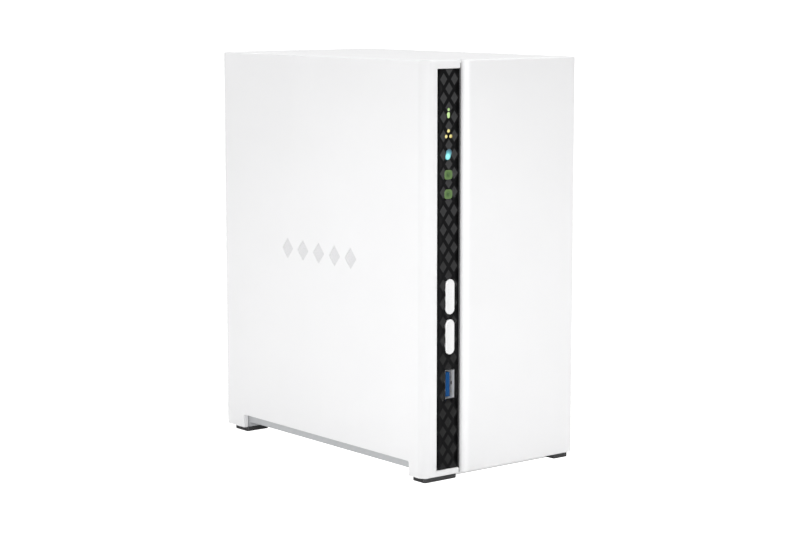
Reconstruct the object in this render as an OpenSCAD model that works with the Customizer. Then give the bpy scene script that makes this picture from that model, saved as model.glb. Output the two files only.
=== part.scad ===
// Two-bay network attached storage: a tall white case whose cover slides off forwards,
// a dark front strip, a mainboard beside two upright 3.5 inch drives, and a fan at the back.
// Millimetres. +Z is up, the front faces -Y, +X is to the right seen from the front.
// The origin is on the table, under the middle of the case.

/* [Case] */
// Width of the case, side to side
case_w = 90.18; // [90:0.01:94]
// Depth of the case, front to back
case_d = 156.26; // [156:0.01:160]
// Height of the case on its feet
case_h = 188.64; // [188:0.01:196]
// Wall thickness of the moulded shells
wall = 2.4; // [2:0.1:2.5]
// Height of the rubber feet
foot_h = 2.4; // [2:0.1:2.8]
// Width of the seam between the shell and the cover
seam_gap = 0.3; // [0.2:0.05:0.4]
// Height of the air arch in both sides, above the table
arch_top = 9; // [8:0.5:10]

/* [Front strip] */
// Width of the dark strip
strip_w = 13.2; // [12.8:0.1:13.4]
// Distance from the left side of the case to the strip
strip_inset = 7.89; // [7.6:0.01:8.1]
// How far the strip lies behind the front face
strip_recess = 0.45; // [0.3:0.05:0.8]
// Distance from the table to the strip
strip_bottom = 5.2; // [5:0.1:6]
// Distance from the strip to the top of the case
strip_top_gap = 3.8; // [3.5:0.1:6]

/* [Buttons] */
// Width of a front button
button_w = 5; // [4.8:0.1:5.4]
// Length of a front button
button_h = 15.9; // [15:0.1:16.4]
// Height of the power button's middle above the table
power_z = 83.5; // [83.5:0.1:90]
// Height of the copy button's middle above the table
copy_z = 65.4; // [63:0.1:65.4]
// Travel of the front buttons
button_travel = 0.5; // [0.3:0.05:0.6]

/* [Drives] */
// Thickness of a 3.5 inch drive
drive_t = 26.1; // [25.4:0.1:26.1]
// Gap between the two drives
drive_gap = 3; // [2.8:0.1:3]
// Radius of a platter
platter_r = 47.5; // [46:0.1:47.5]

/* [Fan] */
// Number of fan blades
blades = 7; // [5:1:9]
// Height of the fan's shaft above the table
fan_z = 102; // [95:1:110]

/* [Ports] */
// Height of the front port's middle above the table
front_usb_z = 43.8; // [42:0.1:44]
// Height of the lower rear port's middle above the table
rear_usb_low_z = 112; // [110:1:114]
// Height of the upper rear port's middle above the table
rear_usb_high_z = 131; // [129:1:134]
// Height of the network socket's middle above the table
lan_z = 84; // [82:1:88]
// Height of the power jack's middle above the table
jack_z = 52; // [48:1:56]
// Radius of the power jack's centre pin
jack_pin_r = 1; // [0.8:0.05:1.25]

/* [Hidden] */
$fn = 64;

// Faces of the case
left_x = -case_w / 2;
right_x = case_w / 2;
front_y = -case_d / 2;
back_y = case_d / 2;
inner_left = left_x + wall;
inner_right = right_x - wall;
inner_front = front_y + wall;
inner_top = case_h - wall;
far = 400;               // longer than anything that is cut

// Seam between the left shell and the cover
strip_x = left_x + strip_inset;
seam_x = strip_x + strip_w;
cover_x = seam_x + seam_gap / 2 + 0.05;
shell_x = seam_x - seam_gap / 2 + 0.05;
cover_r = 6;             // roundness of the cover's edge along the seam
shell_r = 4.4;           // roundness of the shell's front edge on the left
lip_t = wall;            // return lip behind the cover's rounded front edge
lip_d = 7.6;

// Air arches and feet
arch_front = front_y + 10.6;
arch_back = back_y - 14.9;
foot_w = 13;
front_foot_d = 9;
rear_foot_d = 11;
foot_x = case_w / 2 - 2;
foot_front = front_y + 1.6;
left_foot_w = 18.8;      // the front left foot fills the shell's front up to the seam
right_foot_w = 9;        // the front right foot is the smallest and stands furthest out
right_foot_x = case_w / 2 - 0.8 - right_foot_w;
base_z = 5;              // underside of the base tray
base_t = 2;
tray_rim = 14;           // top of the tray's rim
tray_gap = 0.45;         // tray to the inside of the shells
rail_z = 10.8;           // cover's guide rib, in the tray's groove
rail_h = 1.6;
rail_d = 1.7;

// Rear panel
panel_t = 2;
panel_y = back_y - 0.93 - panel_t;
panel_edge = 0.35;

// Screws: shank, clearance hole, head
screw_r = 1.45;
tap_r = 1.5;
clear_r = 1.6;
head_r = 2.75;
head_h = 1.8;
csk_r = 2.9;             // countersunk head
csk_h = 1.4;
cover_screw_x = inner_right - 3.3;
cover_screw_z = [18.6, case_h - 12.6];
shell_screw_x = inner_left + 3;
shell_screw_z = [20, case_h - 9];
base_screw_x = inner_left + 4.5;
base_screw_y = [-40, 40];
boss_z = base_z + base_t + 3.2;  // foot of the shell's bosses on the tray's pads

// Front strip
strip_y = front_y + strip_recess;
strip_top = case_h - strip_top_gap;
strip_fit = 0.12;
strip_chamfer = 0.5;     // on the edges of the opening
bead_w = 0.33;           // dark bead of the strip that shows along the whole seam
bead_y = front_y + 0.15;
bead_z = [foot_h + 0.4, case_h - 1.5];
flange_y = inner_front + 0.13;   // front of the strip's hidden flange
flange_t = 1.4;
strip_back = flange_y + flange_t;

// Icon middles
icon_x = seam_x - 6.75;
status_z = 165.3;
network_z = 156.25;
usb_z = 147.1;
disk_z = [138.1, 129.5];
icon_z = [status_z, network_z, usb_z, disk_z[0], disk_z[1]];

// Mainboard, upright behind the strip, its parts facing the left side
pcb_t = 1.6;
board_x = seam_x - 2.4;          // face that carries the parts
board_back = board_x + pcb_t;
board_front = front_y + 6.6;
board_rear = back_y - 4.4;
board_z = [14.3, 175];
board_hole_y = [-60, -11, 32];
board_hole_z = [20, 168];

// Buttons and their switches
button_x = seam_x - 5.6;
button_y = front_y + 0.15;
button_fit = 0.25;
collar_t = 0.8;
collar_y = strip_back + 0.15;
switch_w = 6;
switch_y = front_y + 8.1;        // front face of the front switch bodies
switch_d = 3.5;
plunger_r = 1.6;
plunger_out = 1.2;
plunger_in = 1.5;
plunger_fit = 0.06;
reset_z = 150;
reset_travel = 0.3;
reset_r = 1.2;
reset_y = panel_y - 5.4;         // rear face of the reset switch body

// Receptacle sizes
usb_w = 13.1;
usb_t = 5.7;
usb_l = 14;
usb_wall = 0.3;
tongue_t = 1.85;
tongue_w = 11.1;
lan_w = 16;
lan_h = 13.5;
lan_d = 21.3;
lan_mouth_w = 11.9;
lan_mouth_h = 8;
lan_mouth_d = 12.6;
jack_w = 9;
jack_h = 11;
jack_d = 14.2;
jack_up = 6.5;                   // jack's axis above the board
jack_r = 3.2;
jack_depth = 9.5;
port_y = back_y - 0.63;          // rear faces of the ports
front_port_y = strip_y + 0.5;
rear_usb_z = [rear_usb_low_z, rear_usb_high_z];

// Drives stand on their connector ends
drive_w = 101.6;
drive_l = 147;
drive_x = [seam_x + 3.2, seam_x + 3.2 + drive_t + drive_gap];
drive_y = front_y + 12.13;
drive_z = 23.5;
plug_y = drive_y + drive_w / 2 - 10;    // middle of the drive's connector
spindle_y = drive_y + drive_w / 2;
spindle_z = drive_z + 95;
pivot_y = drive_y + 20;
pivot_z = drive_z + 40;
arm_l = 54;
arm_rest = 10.7;                 // parked angle of the arm above +Y
disc_x = [11, 17];
disc_t = 1.27;
side_hole_x = 6.35;
side_hole_z = [28.5, 130.1];
side_hole_r = 1.45;

// Cage and backplane
cage_t = 1;
cage_x = [seam_x + 1.2, drive_x[1] + drive_t + 1.8];
cage_y = [drive_y - 0.3 - cage_t, drive_y + drive_w + 0.3 + cage_t];
cage_z = [13, 172];
backplane_z = 16;
backplane_x = [seam_x + 3.5, cage_x[1] - 1];
backplane_y = [cage_y[0] + 12, plug_y + 30];
post_x = [seam_x + 7, cage_x[1] - 5];
post_y = [cage_y[0] + 6, cage_y[1] - 6];
socket_base_z = 23;

// Fan
fan_w = 60;
fan_d = 25;
fan_x = 9;
fan_y = panel_y - fan_d;
fan_bore = 28.8;
fan_hub = 13.5;
fan_tip = 28;
fan_screw_x = [fan_x - 25, fan_x + 25];
fan_screw_z = [fan_z - 25, fan_z + 25];
spider_t = 4;
shaft_r = 1;
cable_r = 1.1;
cable_path = [
    [-10, 60, fan_z - fan_w / 2], [-10, 60, 66], [-10.6, 58, 61],
    [-12.4, 55, 57], [-15, 53, 54], [-17.2, 53, 54]
];

// --- shared shapes ---

// Rectangle from lo to hi; r holds the radius of each corner, from lo anticlockwise
module round_rect(lo, hi, r) {
    difference() {
        translate(lo) square(hi - lo);
        corner_waste(lo, [1, 1], r[0]);
        corner_waste([hi[0], lo[1]], [-1, 1], r[1]);
        corner_waste(hi, [-1, -1], r[2]);
        corner_waste([lo[0], hi[1]], [1, -1], r[3]);
    }
}

// What rounding takes off a corner at p that opens along the signs in s
module corner_waste(p, s, r) {
    spare = 0.5;
    if (r > 0) difference() {
        translate(p + s * (r - spare) / 2) square(r + spare, center = true);
        translate(p + s * r) circle(r);
    }
}

// Outline in the Y-Z plane, extruded along +X from x0 to x1
module along_x(x0, x1) {
    translate([x0, 0, 0]) rotate([90, 0, 90]) linear_extrude(x1 - x0) children();
}

// Outline in the X-Z plane, extruded along +Y from y0 to y1
module along_y(y0, y1) {
    translate([0, y1, 0]) rotate([90, 0, 0]) linear_extrude(y1 - y0) children();
}

// Box between two corners
module block(lo, hi) {
    translate(lo) cube(hi - lo);
}

// Cylinders along +X and +Y
module rod_x(x0, x1, y, z, r) {
    translate([x0, y, z]) rotate([0, 90, 0]) cylinder(h = x1 - x0, r = r);
}
module rod_y(y0, y1, x, z, r) {
    translate([x, y0, z]) rotate([-90, 0, 0]) cylinder(h = y1 - y0, r = r);
}

// Upright pill outline, w wide and h tall
module pill(w, h) {
    square([w, h - w], center = true);
    for (s = [-1, 1]) translate([0, s * (h - w) / 2]) circle(w / 2);
}

// Pan-head screw: the head stands on z = 0 and the shank points down
module pan_screw(l) {
    cylinder(h = head_h, r = head_r);
    translate([0, 0, -l]) cylinder(h = l, r = screw_r);
}

// Countersunk screw whose head is flush with z = 0, shank along -Z
module flat_screw(l) {
    translate([0, 0, -csk_h]) cylinder(h = csk_h, r1 = screw_r, r2 = csk_r);
    translate([0, 0, -l]) cylinder(h = l - csk_h, r = screw_r);
}
module flat_screw_seat() {
    translate([0, 0, -csk_h - 0.02]) cylinder(h = csk_h, r1 = clear_r, r2 = csk_r + 0.15);
    translate([0, 0, -0.03]) cylinder(h = 1, r = csk_r + 0.15);
    translate([0, 0, -far / 2]) cylinder(h = far / 2, r = clear_r);
}

// --- case ---

// Outside of one shell: plan, front view and side view outlines in common
module shell_form(x0, x1, plan_r, front_r, side_r) {
    intersection() {
        translate([0, 0, foot_h]) linear_extrude(case_h - foot_h)
            round_rect([x0, front_y], [x1, back_y], plan_r);
        along_y(front_y, back_y) round_rect([x0, foot_h], [x1, case_h], front_r);
        along_x(x0, x1) round_rect([front_y, foot_h], [back_y, case_h], side_r);
    }
}

// Low arch that lets air in under one side wall
module arch(x0, x1) {
    along_x(x0, x1) round_rect([arch_front, 0], [arch_back, arch_top], [0, 0, 1, 1]);
}

// Five plain diamonds, the generic mark on the left side
module side_mark() {
    pitch = 12.4;
    for (k = [-2:2]) polygon([for (a = [0:90:270]) [k * pitch + 4.4 * cos(a), 96.5 + 5 * sin(a)]]);
}

module left_shell() color("white") difference() {
    union() {
        difference() {
            shell_form(left_x, shell_x, [shell_r, 0, 0, 0.8], [0, 0, 0, 0.8], [0.8, 0, 1, 0.8]);
            translate([0, 0, -1]) linear_extrude(inner_top + 1)
                round_rect([inner_left, inner_front], [0, far], [shell_r - wall, 0, 0, 0]);
        }
        // ledge that the cover's top slides over
        ledge = [shell_x - 4, inner_front + 9, inner_top - 2.4];
        block(ledge, [shell_x - 0.6, panel_y - 1, inner_top]);
        block(ledge, [seam_x + 3.5, panel_y - 1, inner_top - 0.4]);
        // bosses for the rear panel's screws
        for (z = shell_screw_z) {
            rod_y(panel_y - 12, panel_y, shell_screw_x, z, 3);
            block([left_x + 1, panel_y - 12, z - 1], [shell_screw_x, panel_y, z + 1]);
        }
        // bosses for the base tray's screws
        for (y = base_screw_y) {
            translate([base_screw_x, y, boss_z]) cylinder(h = 12, r = 3.4);
            block([left_x + 1, y - 1, boss_z], [base_screw_x, y + 1, boss_z + 12]);
        }
    }
    block([strip_x, front_y - 1, strip_bottom], [seam_x + 1, inner_front + 1, strip_top]);
    // room for the strip's bead
    block([seam_x - strip_fit - bead_w - 0.1, front_y - 1, -1],
          [seam_x + 1, inner_front + 1, bead_z[1] + 0.1]);
    // chamfer round the strip's opening
    along_x(strip_x, seam_x + 1) for (z = [strip_bottom, strip_top]) translate([front_y, z])
        rotate(45) square(strip_chamfer * sqrt(2), center = true);
    translate([strip_x, front_y, strip_bottom]) rotate([0, 0, 45])
        translate([0, 0, (strip_top - strip_bottom) / 2])
            cube([strip_chamfer * sqrt(2), strip_chamfer * sqrt(2), strip_top - strip_bottom], center = true);
    arch(left_x - 1, inner_left + 0.2);
    along_x(left_x - 1, left_x + 0.35) side_mark();
    for (z = shell_screw_z) rod_y(panel_y - 11, panel_y + 1, shell_screw_x, z, tap_r);
    for (y = base_screw_y) translate([base_screw_x, y, base_z]) cylinder(h = 15, r = tap_r);
}

module cover() color("white") difference() {
    union() {
        difference() {
            shell_form(cover_x, right_x, [cover_r, 0.8, 0.8, 0], [0, 0, 0.8, 0], [0.8, 0, 1, 1.2]);
            translate([0, 0, -1]) linear_extrude(inner_top + 1)
                round_rect([cover_x + lip_t, inner_front], [inner_right, far], [cover_r - wall, 0, 0, 0]);
            block([cover_x - 1, front_y + lip_d, -1], [cover_x + lip_t + 1, far, inner_top]);
        }
        // guide rib
        block([inner_right - rail_d, inner_front + 8, rail_z - rail_h / 2],
              [right_x - 1, panel_y - 5, rail_z + rail_h / 2]);
        // bosses for the two cover screws
        for (z = cover_screw_z)
            block([cover_screw_x - 2.7, panel_y - 12, z - 4], [right_x - 1, panel_y - 0.3, z + 4]);
    }
    arch(inner_right - rail_d - 1, right_x + 1);
    for (z = cover_screw_z) rod_y(panel_y - 11.5, panel_y, cover_screw_x, z, screw_r + 0.1);
}

module base_tray() color("silver") difference() {
    x0 = inner_left + tray_gap;
    x1 = inner_right - tray_gap;
    y0 = inner_front + tray_gap;
    y1 = panel_y - 0.2;
    rim = 1.6;
    union() {
        difference() {
            block([x0, y0, base_z], [x1, y1, tray_rim]);
            block([x0 + rim, y0 + rim, base_z + base_t], [x1 - rim, y1 - rim, tray_rim + 1]);
        }
        // legs over the four feet
        block([x0, y0, foot_h], [left_foot_w - foot_x, arch_front, base_z + 0.5]);
        block([right_foot_x, y0, foot_h], [x1, arch_front, base_z + 0.5]);
        for (x = [x0, x1 - foot_w]) block([x, arch_back, foot_h], [x + foot_w, y1, base_z + 0.5]);
        // posts under the drive cage, and pads round the shell's screws
        for (x = post_x, y = post_y) translate([x, y, base_z]) cylinder(h = cage_z[0] - base_z, r = 3.4);
        for (y = base_screw_y) translate([base_screw_x, y, base_z]) cylinder(h = boss_z - base_z, r = 4);
        // thick band behind the cover's rib
        block([x1 - 3.4, y0, base_z], [x1, y1, tray_rim]);
    }
    // room for the strip's flange and for the cover's front lip
    block([x0 - 1, -far, -1], [seam_x + 1, strip_back + 0.25, far]);
    block([cover_x - 0.4, -far, -1], [cover_x + cover_r + 0.3, front_y + lip_d + 0.3, far]);
    // seats for the left shell's bosses in the rim
    for (y = base_screw_y) block([x0 - 1, y - 4.2, boss_z], [base_screw_x, y + 4.2, far]);
    // groove for the cover's rib
    block([inner_right - rail_d - 0.4, -far, rail_z - rail_h / 2 - 0.3],
          [right_x, panel_y - 4, rail_z + rail_h / 2 + 0.3]);
    // air slots under the drives
    for (k = [-5:5]) translate([-12, k * 10 - 10.5, base_z - 1]) cube([39, 5, base_t + 2]);
    for (x = post_x, y = post_y) translate([x, y, base_z - 1]) cylinder(h = 12, r = tap_r);
    for (y = base_screw_y) translate([base_screw_x, y, base_z - 1]) {
        cylinder(h = 12, r = clear_r);
        cylinder(h = 1 + head_h + 0.4, r = head_r + 0.3);
    }
}

// Honeycomb of air holes inside a circle
module vent_2d() {
    pitch = 5.6;
    row = pitch * sin(60);
    for (j = [-5:5], i = [-6:6]) {
        p = [(i + (j % 2 == 0 ? 0 : 0.5)) * pitch, j * row];
        if (norm(p) < fan_tip - 2.2) translate(p) rotate(30) circle(r = 2.7, $fn = 6);
    }
}

// Outline of the lock slot, 7 mm by 3 mm
module lock_slot() {
    translate([button_x - 2, case_h - 25]) rotate(90) pill(3, 7);
}

module rear_panel() color("whitesmoke") difference() {
    low = [inner_left + panel_edge, foot_h + 0.4];
    high = [inner_right - panel_edge, inner_top - panel_edge];
    along_y(panel_y, panel_y + panel_t) round_rect(low, high, [0, 0, 1, 1]);
    along_y(panel_y - 1, back_y) {
        translate([fan_x, fan_z]) vent_2d();
        lock_slot();
        for (z = rear_usb_z) port_hole(usb_t, usb_w, z);
        port_hole(lan_h, lan_w, lan_z);
        port_hole(jack_h, jack_w, jack_z);
        translate([button_x, reset_z]) circle(1);
    }
    for (z = shell_screw_z) rear_seat(shell_screw_x, z) flat_screw_seat();
    for (z = cover_screw_z) rear_seat(cover_screw_x, z) flat_screw_seat();
    for (x = fan_screw_x, z = fan_screw_z) rear_seat(x, z) flat_screw_seat();
}

// Hole round a port that stands high above the board and is w wide
module port_hole(high, w, z) {
    fit = 0.22;
    translate([board_x - high - fit, z - w / 2 - fit]) square([high + 2 * fit, w + 2 * fit]);
}

// Puts a screw or its seat in the rear face of the rear panel
module rear_seat(x, z) {
    translate([x, panel_y + panel_t, z]) rotate([-90, 0, 0]) children();
}

module lock_plate() color("gray") along_y(panel_y - 1.4, panel_y) difference() {
    translate([button_x - 2, case_h - 25]) square([13, 11], center = true);
    lock_slot();
}

module foot(x0, y0, w, d) color("dimgray") linear_extrude(foot_h)
    round_rect([x0, y0], [x0 + w, y0 + d], [1.2, 1.2, 1.2, 1.2]);

// --- front strip and its lights ---

module status_2d() {
    translate([0, 1.6]) circle(0.7);
    translate([0, -0.85]) pill(1.4, 2.7);
}
module network_2d() {
    for (p = [[0, 1.25], [-1.38, -1.2], [1.38, -1.2]]) translate(p) circle(0.78);
}
module usb_2d() {
    rotate(-20) pill(2.9, 5);
}
module disk_2d() {
    round_rect([-2.3, -2.1], [2.3, 2.1], [1.3, 1.3, 1.3, 1.3]);
}
// Window of a disk light, with a round pit in its face
module disk_lens(z) difference() {
    lens(z) disk_2d();
    rod_y(strip_y - 1, strip_y + 0.4, icon_x, z, 0.75);
}
module lens(z) along_y(strip_y, strip_back) translate([icon_x, z]) children();

module status_lens() color("lightgreen") lens(status_z) status_2d();
module network_lens() color("gold") lens(network_z) network_2d();
module usb_lens() color("cyan") lens(usb_z) usb_2d();
module disk1_lens() color("yellowgreen") disk_lens(disk_z[0]);
module disk2_lens() color("yellowgreen") disk_lens(disk_z[1]);

module front_strip() color([0.13, 0.13, 0.14]) difference() {
    union() {
        block([strip_x + strip_fit, strip_y, strip_bottom + strip_fit],
              [seam_x - strip_fit, strip_back, strip_top - strip_fit]);
        block([strip_x - 2.2, flange_y, strip_bottom - 1.6],
              [seam_x - strip_fit, strip_back, inner_top - 0.2]);
        block([seam_x - strip_fit - bead_w, bead_y, bead_z[0]],
              [seam_x - strip_fit, flange_y + 0.6, bead_z[1]]);
    }
    lens_holes();
    for (z = [power_z, copy_z]) along_y(front_y, 0) translate([button_x, z])
        pill(button_w + 2 * button_fit, button_h + 2 * button_fit);
    block([board_x - usb_t - 0.2, front_y, front_usb_z - usb_w / 2 - 0.2],
          [board_x + 0.2, 0, front_usb_z + usb_w / 2 + 0.2]);
}
module lens_holes() along_y(front_y, 0) {
    translate([icon_x, status_z]) status_2d();
    translate([icon_x, network_z]) network_2d();
    translate([icon_x, usb_z]) usb_2d();
    for (z = disk_z) translate([icon_x, z]) disk_2d();
}

// Clear bars that carry light from the board's edge to the lenses, on one rail
module light_guide() color("lightgray") union() {
    y0 = strip_back + 0.05;
    y1 = board_front + 0.9;
    for (z = icon_z) block([icon_x - 1.7, y0, z - 2], [board_x - 0.2, y1, z + 2]);
    block([icon_x - 1.7, y0 + 1, icon_z[4] - 2], [icon_x - 0.7, y1 - 0.8, icon_z[0] + 2]);
}

// One small light on the board's edge behind each guide bar
module indicator_leds() color("ivory")
    for (z = icon_z) block([board_x - 1.6, board_front + 1, z - 1], [board_x, board_front + 2.6, z + 1]);

module button(z) color("white") {
    along_y(button_y, collar_y) translate([button_x, z]) pill(button_w, button_h);
    along_y(collar_y, collar_y + collar_t) translate([button_x, z]) pill(button_w + 2, button_h + 1.2);
    rod_y(collar_y + collar_t, switch_y - plunger_out, button_x, z, 1.3);
}
module plunger(z) color("dimgray")
    rod_y(switch_y - plunger_out, switch_y + plunger_in, button_x, z, plunger_r);

module power_button() button(power_z);
module copy_button() button(copy_z);
module power_plunger() plunger(power_z);
module copy_plunger() plunger(copy_z);
module reset_plunger() color("dimgray") rod_y(reset_y - plunger_in, reset_y + 3, button_x, reset_z, reset_r);

// Switch bodies on the board, each with a well for its plunger
module switch_bodies() color([0.2, 0.2, 0.22]) {
    well = plunger_in + button_travel + 0.1;
    for (z = [power_z, copy_z]) difference() {
        switch_block(switch_y, z);
        rod_y(switch_y - 1, switch_y + well, button_x, z, plunger_r + plunger_fit);
    }
    reset_well = plunger_in + reset_travel + 0.1;
    difference() {
        switch_block(reset_y - switch_d, reset_z);
        rod_y(reset_y - reset_well, reset_y + 1, button_x, reset_z, reset_r + plunger_fit);
    }
}
module switch_block(y, z) translate([board_x - switch_w - 0.6, y, z - switch_w / 2])
    cube([switch_w + 0.6, switch_d, switch_w]);

// --- electronics ---

module mainboard() color("darkgreen") difference() {
    block([board_x, board_front, board_z[0]], [board_back, board_rear, board_z[1]]);
    for (y = board_hole_y, z = board_hole_z) rod_x(board_x - 1, board_back + 1, y, z, clear_r);
}

module processor() color([0.16, 0.16, 0.17]) {
    block([board_x - 0.7, 10, 96], [board_x, 31, 117]);
    block([board_x - 1.6, 12, 98], [board_x - 0.7, 29, 115]);
}

// Finned block that sits on the processor
module heatsink() color("gray") union() {
    side = 38;
    y0 = 20.5 - side / 2;
    z0 = 106.5 - side / 2;
    seat = board_x - 1.6;
    block([seat - 2, y0, z0], [seat, y0 + side, z0 + side]);
    fin = 1.1;
    for (k = [0:9]) translate([seat - 9, y0 + k * (side - fin) / 9, z0]) cube([7.5, fin, side]);
}

// One chip package of the size yz, t thick, its low corner at y, z
module chip(y, z, yz, t) block([board_x - t, y, z], [board_x, y + yz[0], z + yz[1]]);

module board_chips() color([0.13, 0.13, 0.14]) {
    for (k = [0, 1]) chip(-9, 90 + k * 18, [9, 13.5], 1.2);
    chip(-32, 96, [12, 18], 1);
    chip(38, 76, [9, 9], 0.9);
    chip(2, 60, [7, 7], 0.9);
    chip(22, 40, [6, 5], 0.9);
    chip(-46, 40, [5, 6], 1.5);
    chip(-34, 140, [8, 5.5], 1.5);
    chip(36, 128, [10, 10], 0.9);
}

// Round can capacitors standing on the board
module capacitors() color("silver")
    for (p = [[50, 30], [50, 40], [41, 27], [22, 27], [-30, 56], [-30, 66], [44, 108]])
        rod_x(board_x - 8, board_x, p[0], p[1], 3.15);

module inductors() color([0.25, 0.25, 0.26])
    for (p = [[30, 50], [30, 60], [-14, 60], [-14, 71]]) difference() {
        block([board_x - 4, p[0] - 3.6, p[1] - 3.6], [board_x, p[0] + 3.6, p[1] + 3.6]);
        rod_x(board_x - 5, board_x - 3.7, p[0], p[1], 2.6);
    }

// Coin cell with its two solder tabs
module clock_battery() color("silver") {
    y = -44;
    z = 116;
    rod_x(board_x - 4.1, board_x - 0.9, y, z, 10);
    block([board_x - 0.9, y - 2.5, z - 9], [board_x, y + 2.5, z + 2]);
    block([board_x - 4.4, y - 2.5, z - 6], [board_x - 4.1, y + 2.5, z + 12.3]);
    block([board_x - 4.4, y - 2.5, z + 12], [board_x, y + 2.5, z + 12.3]);
}

module buzzer() color([0.15, 0.15, 0.16]) difference() {
    rod_x(board_x - 8.5, board_x, -46, 76, 6);
    rod_x(board_x - 9, board_x - 4, -46, 76, 1);
}

// Socket to the backplane and the fan's header, on the back of the mainboard
module board_headers() color("ivory") union() {
    block([board_back, -6, backplane_z - 1.6], [backplane_x[0], 14, backplane_z + pcb_t + 3]);
    difference() {
        block([board_back, 50, 50], [board_back + 5.2, 56, 58]);
        block([board_back + 1.2, 51, 51], [board_back + 6, 55, 57]);
    }
}

// A receptacle shell open at y_open, its back at y_shut
module usb_shell(z, y_open, y_shut) {
    lo = min(y_open, y_shut);
    hi = max(y_open, y_shut);
    past = y_open < y_shut ? [1, 0] : [0, 1];
    difference() {
        along_y(lo, hi) translate([board_x - usb_t, z - usb_w / 2]) square([usb_t, usb_w]);
        along_y(lo - past[0], hi + past[1]) translate([board_x - usb_t + usb_wall, z - usb_w / 2 + usb_wall])
            square([usb_t - 2 * usb_wall, usb_w - 2 * usb_wall]);
    }
}

// Insulator that closes the shell's back and carries the contact tongue
module usb_tongue(z, y_open, y_shut) {
    s = y_open < y_shut ? 1 : -1;
    root = y_shut - s * 1.8;
    tip = y_open + s * 0.6;
    x0 = board_x - usb_t + usb_wall;
    block([x0, min(root, y_shut), z - usb_w / 2 + usb_wall],
          [board_x - usb_wall, max(root, y_shut), z + usb_w / 2 - usb_wall]);
    translate([x0 + 0.55, min(root, tip), z - tongue_w / 2]) cube([tongue_t, abs(root - tip), tongue_w]);
}

module usb_shells() color("silver") {
    usb_shell(front_usb_z, front_port_y, front_port_y + usb_l);
    for (z = rear_usb_z) usb_shell(z, port_y, port_y - usb_l);
}
module front_usb_tongue() color("royalblue") usb_tongue(front_usb_z, front_port_y, front_port_y + usb_l);
module rear_usb_tongues() color([0.1, 0.1, 0.11]) for (z = rear_usb_z) usb_tongue(z, port_y, port_y - usb_l);

// Network socket: a thin shell round a moulded insert
module lan_shell() color("silver") difference() {
    block([board_x - lan_h, port_y - lan_d, lan_z - lan_w / 2], [board_x, port_y, lan_z + lan_w / 2]);
    block([board_x - lan_h + 0.3, port_y - lan_d + 0.3, lan_z - lan_w / 2 + 0.3],
          [board_x - 0.3, port_y + 1, lan_z + lan_w / 2 - 0.3]);
}
module lan_insert() color([0.1, 0.1, 0.11]) difference() {
    x1 = board_x - 0.3;
    block([board_x - lan_h + 0.3, port_y - lan_d + 0.3, lan_z - lan_w / 2 + 0.3],
          [x1, port_y - 0.2, lan_z + lan_w / 2 - 0.3]);
    block([x1 - 11.2, port_y - lan_mouth_d, lan_z - lan_mouth_w / 2],
          [x1 - 11.2 + lan_mouth_h, port_y + 1, lan_z + lan_mouth_w / 2]);
    block([x1 - 3.3, port_y - lan_mouth_d, lan_z - 3], [x1 - 1.8, port_y + 1, lan_z + 3]);
}

module power_jack() color([0.12, 0.12, 0.13]) difference() {
    block([board_x - jack_h, port_y - jack_d, jack_z - jack_w / 2], [board_x, port_y, jack_z + jack_w / 2]);
    rod_y(port_y - jack_depth, port_y + 1, board_x - jack_up, jack_z, jack_r);
    rod_y(port_y - jack_d + 1, port_y, board_x - jack_up, jack_z, jack_pin_r + 0.5);
}
module jack_pin() color("gold") {
    rod_y(port_y - jack_d + 1, port_y - jack_depth, board_x - jack_up, jack_z, jack_pin_r + 0.5);
    rod_y(port_y - jack_depth, port_y - 0.5, board_x - jack_up, jack_z, jack_pin_r);
}

// --- drive bay ---

module backplane() color("darkgreen") difference() {
    block([backplane_x[0], backplane_y[0], backplane_z],
          [backplane_x[1], backplane_y[1], backplane_z + pcb_t]);
    for (x = backplane_x_holes(), y = backplane_y_holes())
        translate([x, y, backplane_z - 1]) cylinder(h = 4, r = clear_r);
}
function backplane_x_holes() = [backplane_x[0] + 17, backplane_x[1] - 22];
function backplane_y_holes() = [backplane_y[0] + 4, backplane_y[1] - 4];

// Upright receptacles for the drives' plugs, with a slot for each tongue
module drive_sockets() color([0.1, 0.1, 0.11]) for (x0 = drive_x) {
    x = x0 + 5;
    difference() {
        union() {
            block([x - 3.1, plug_y - 21.5, backplane_z + pcb_t], [x + 3.1, plug_y + 21.5, socket_base_z]);
            block([x - 2.3, plug_y - 20.5, socket_base_z - 1], [x + 2.3, plug_y + 20.5, drive_z + 5]);
        }
        block([x - 0.8, plug_y - 18.6, drive_z - 0.3], [x + 0.8, plug_y - 7, drive_z + 6]);
        block([x - 0.8, plug_y - 4.3, drive_z - 0.3], [x + 0.8, plug_y + 17.4, drive_z + 6]);
    }
}

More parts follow.
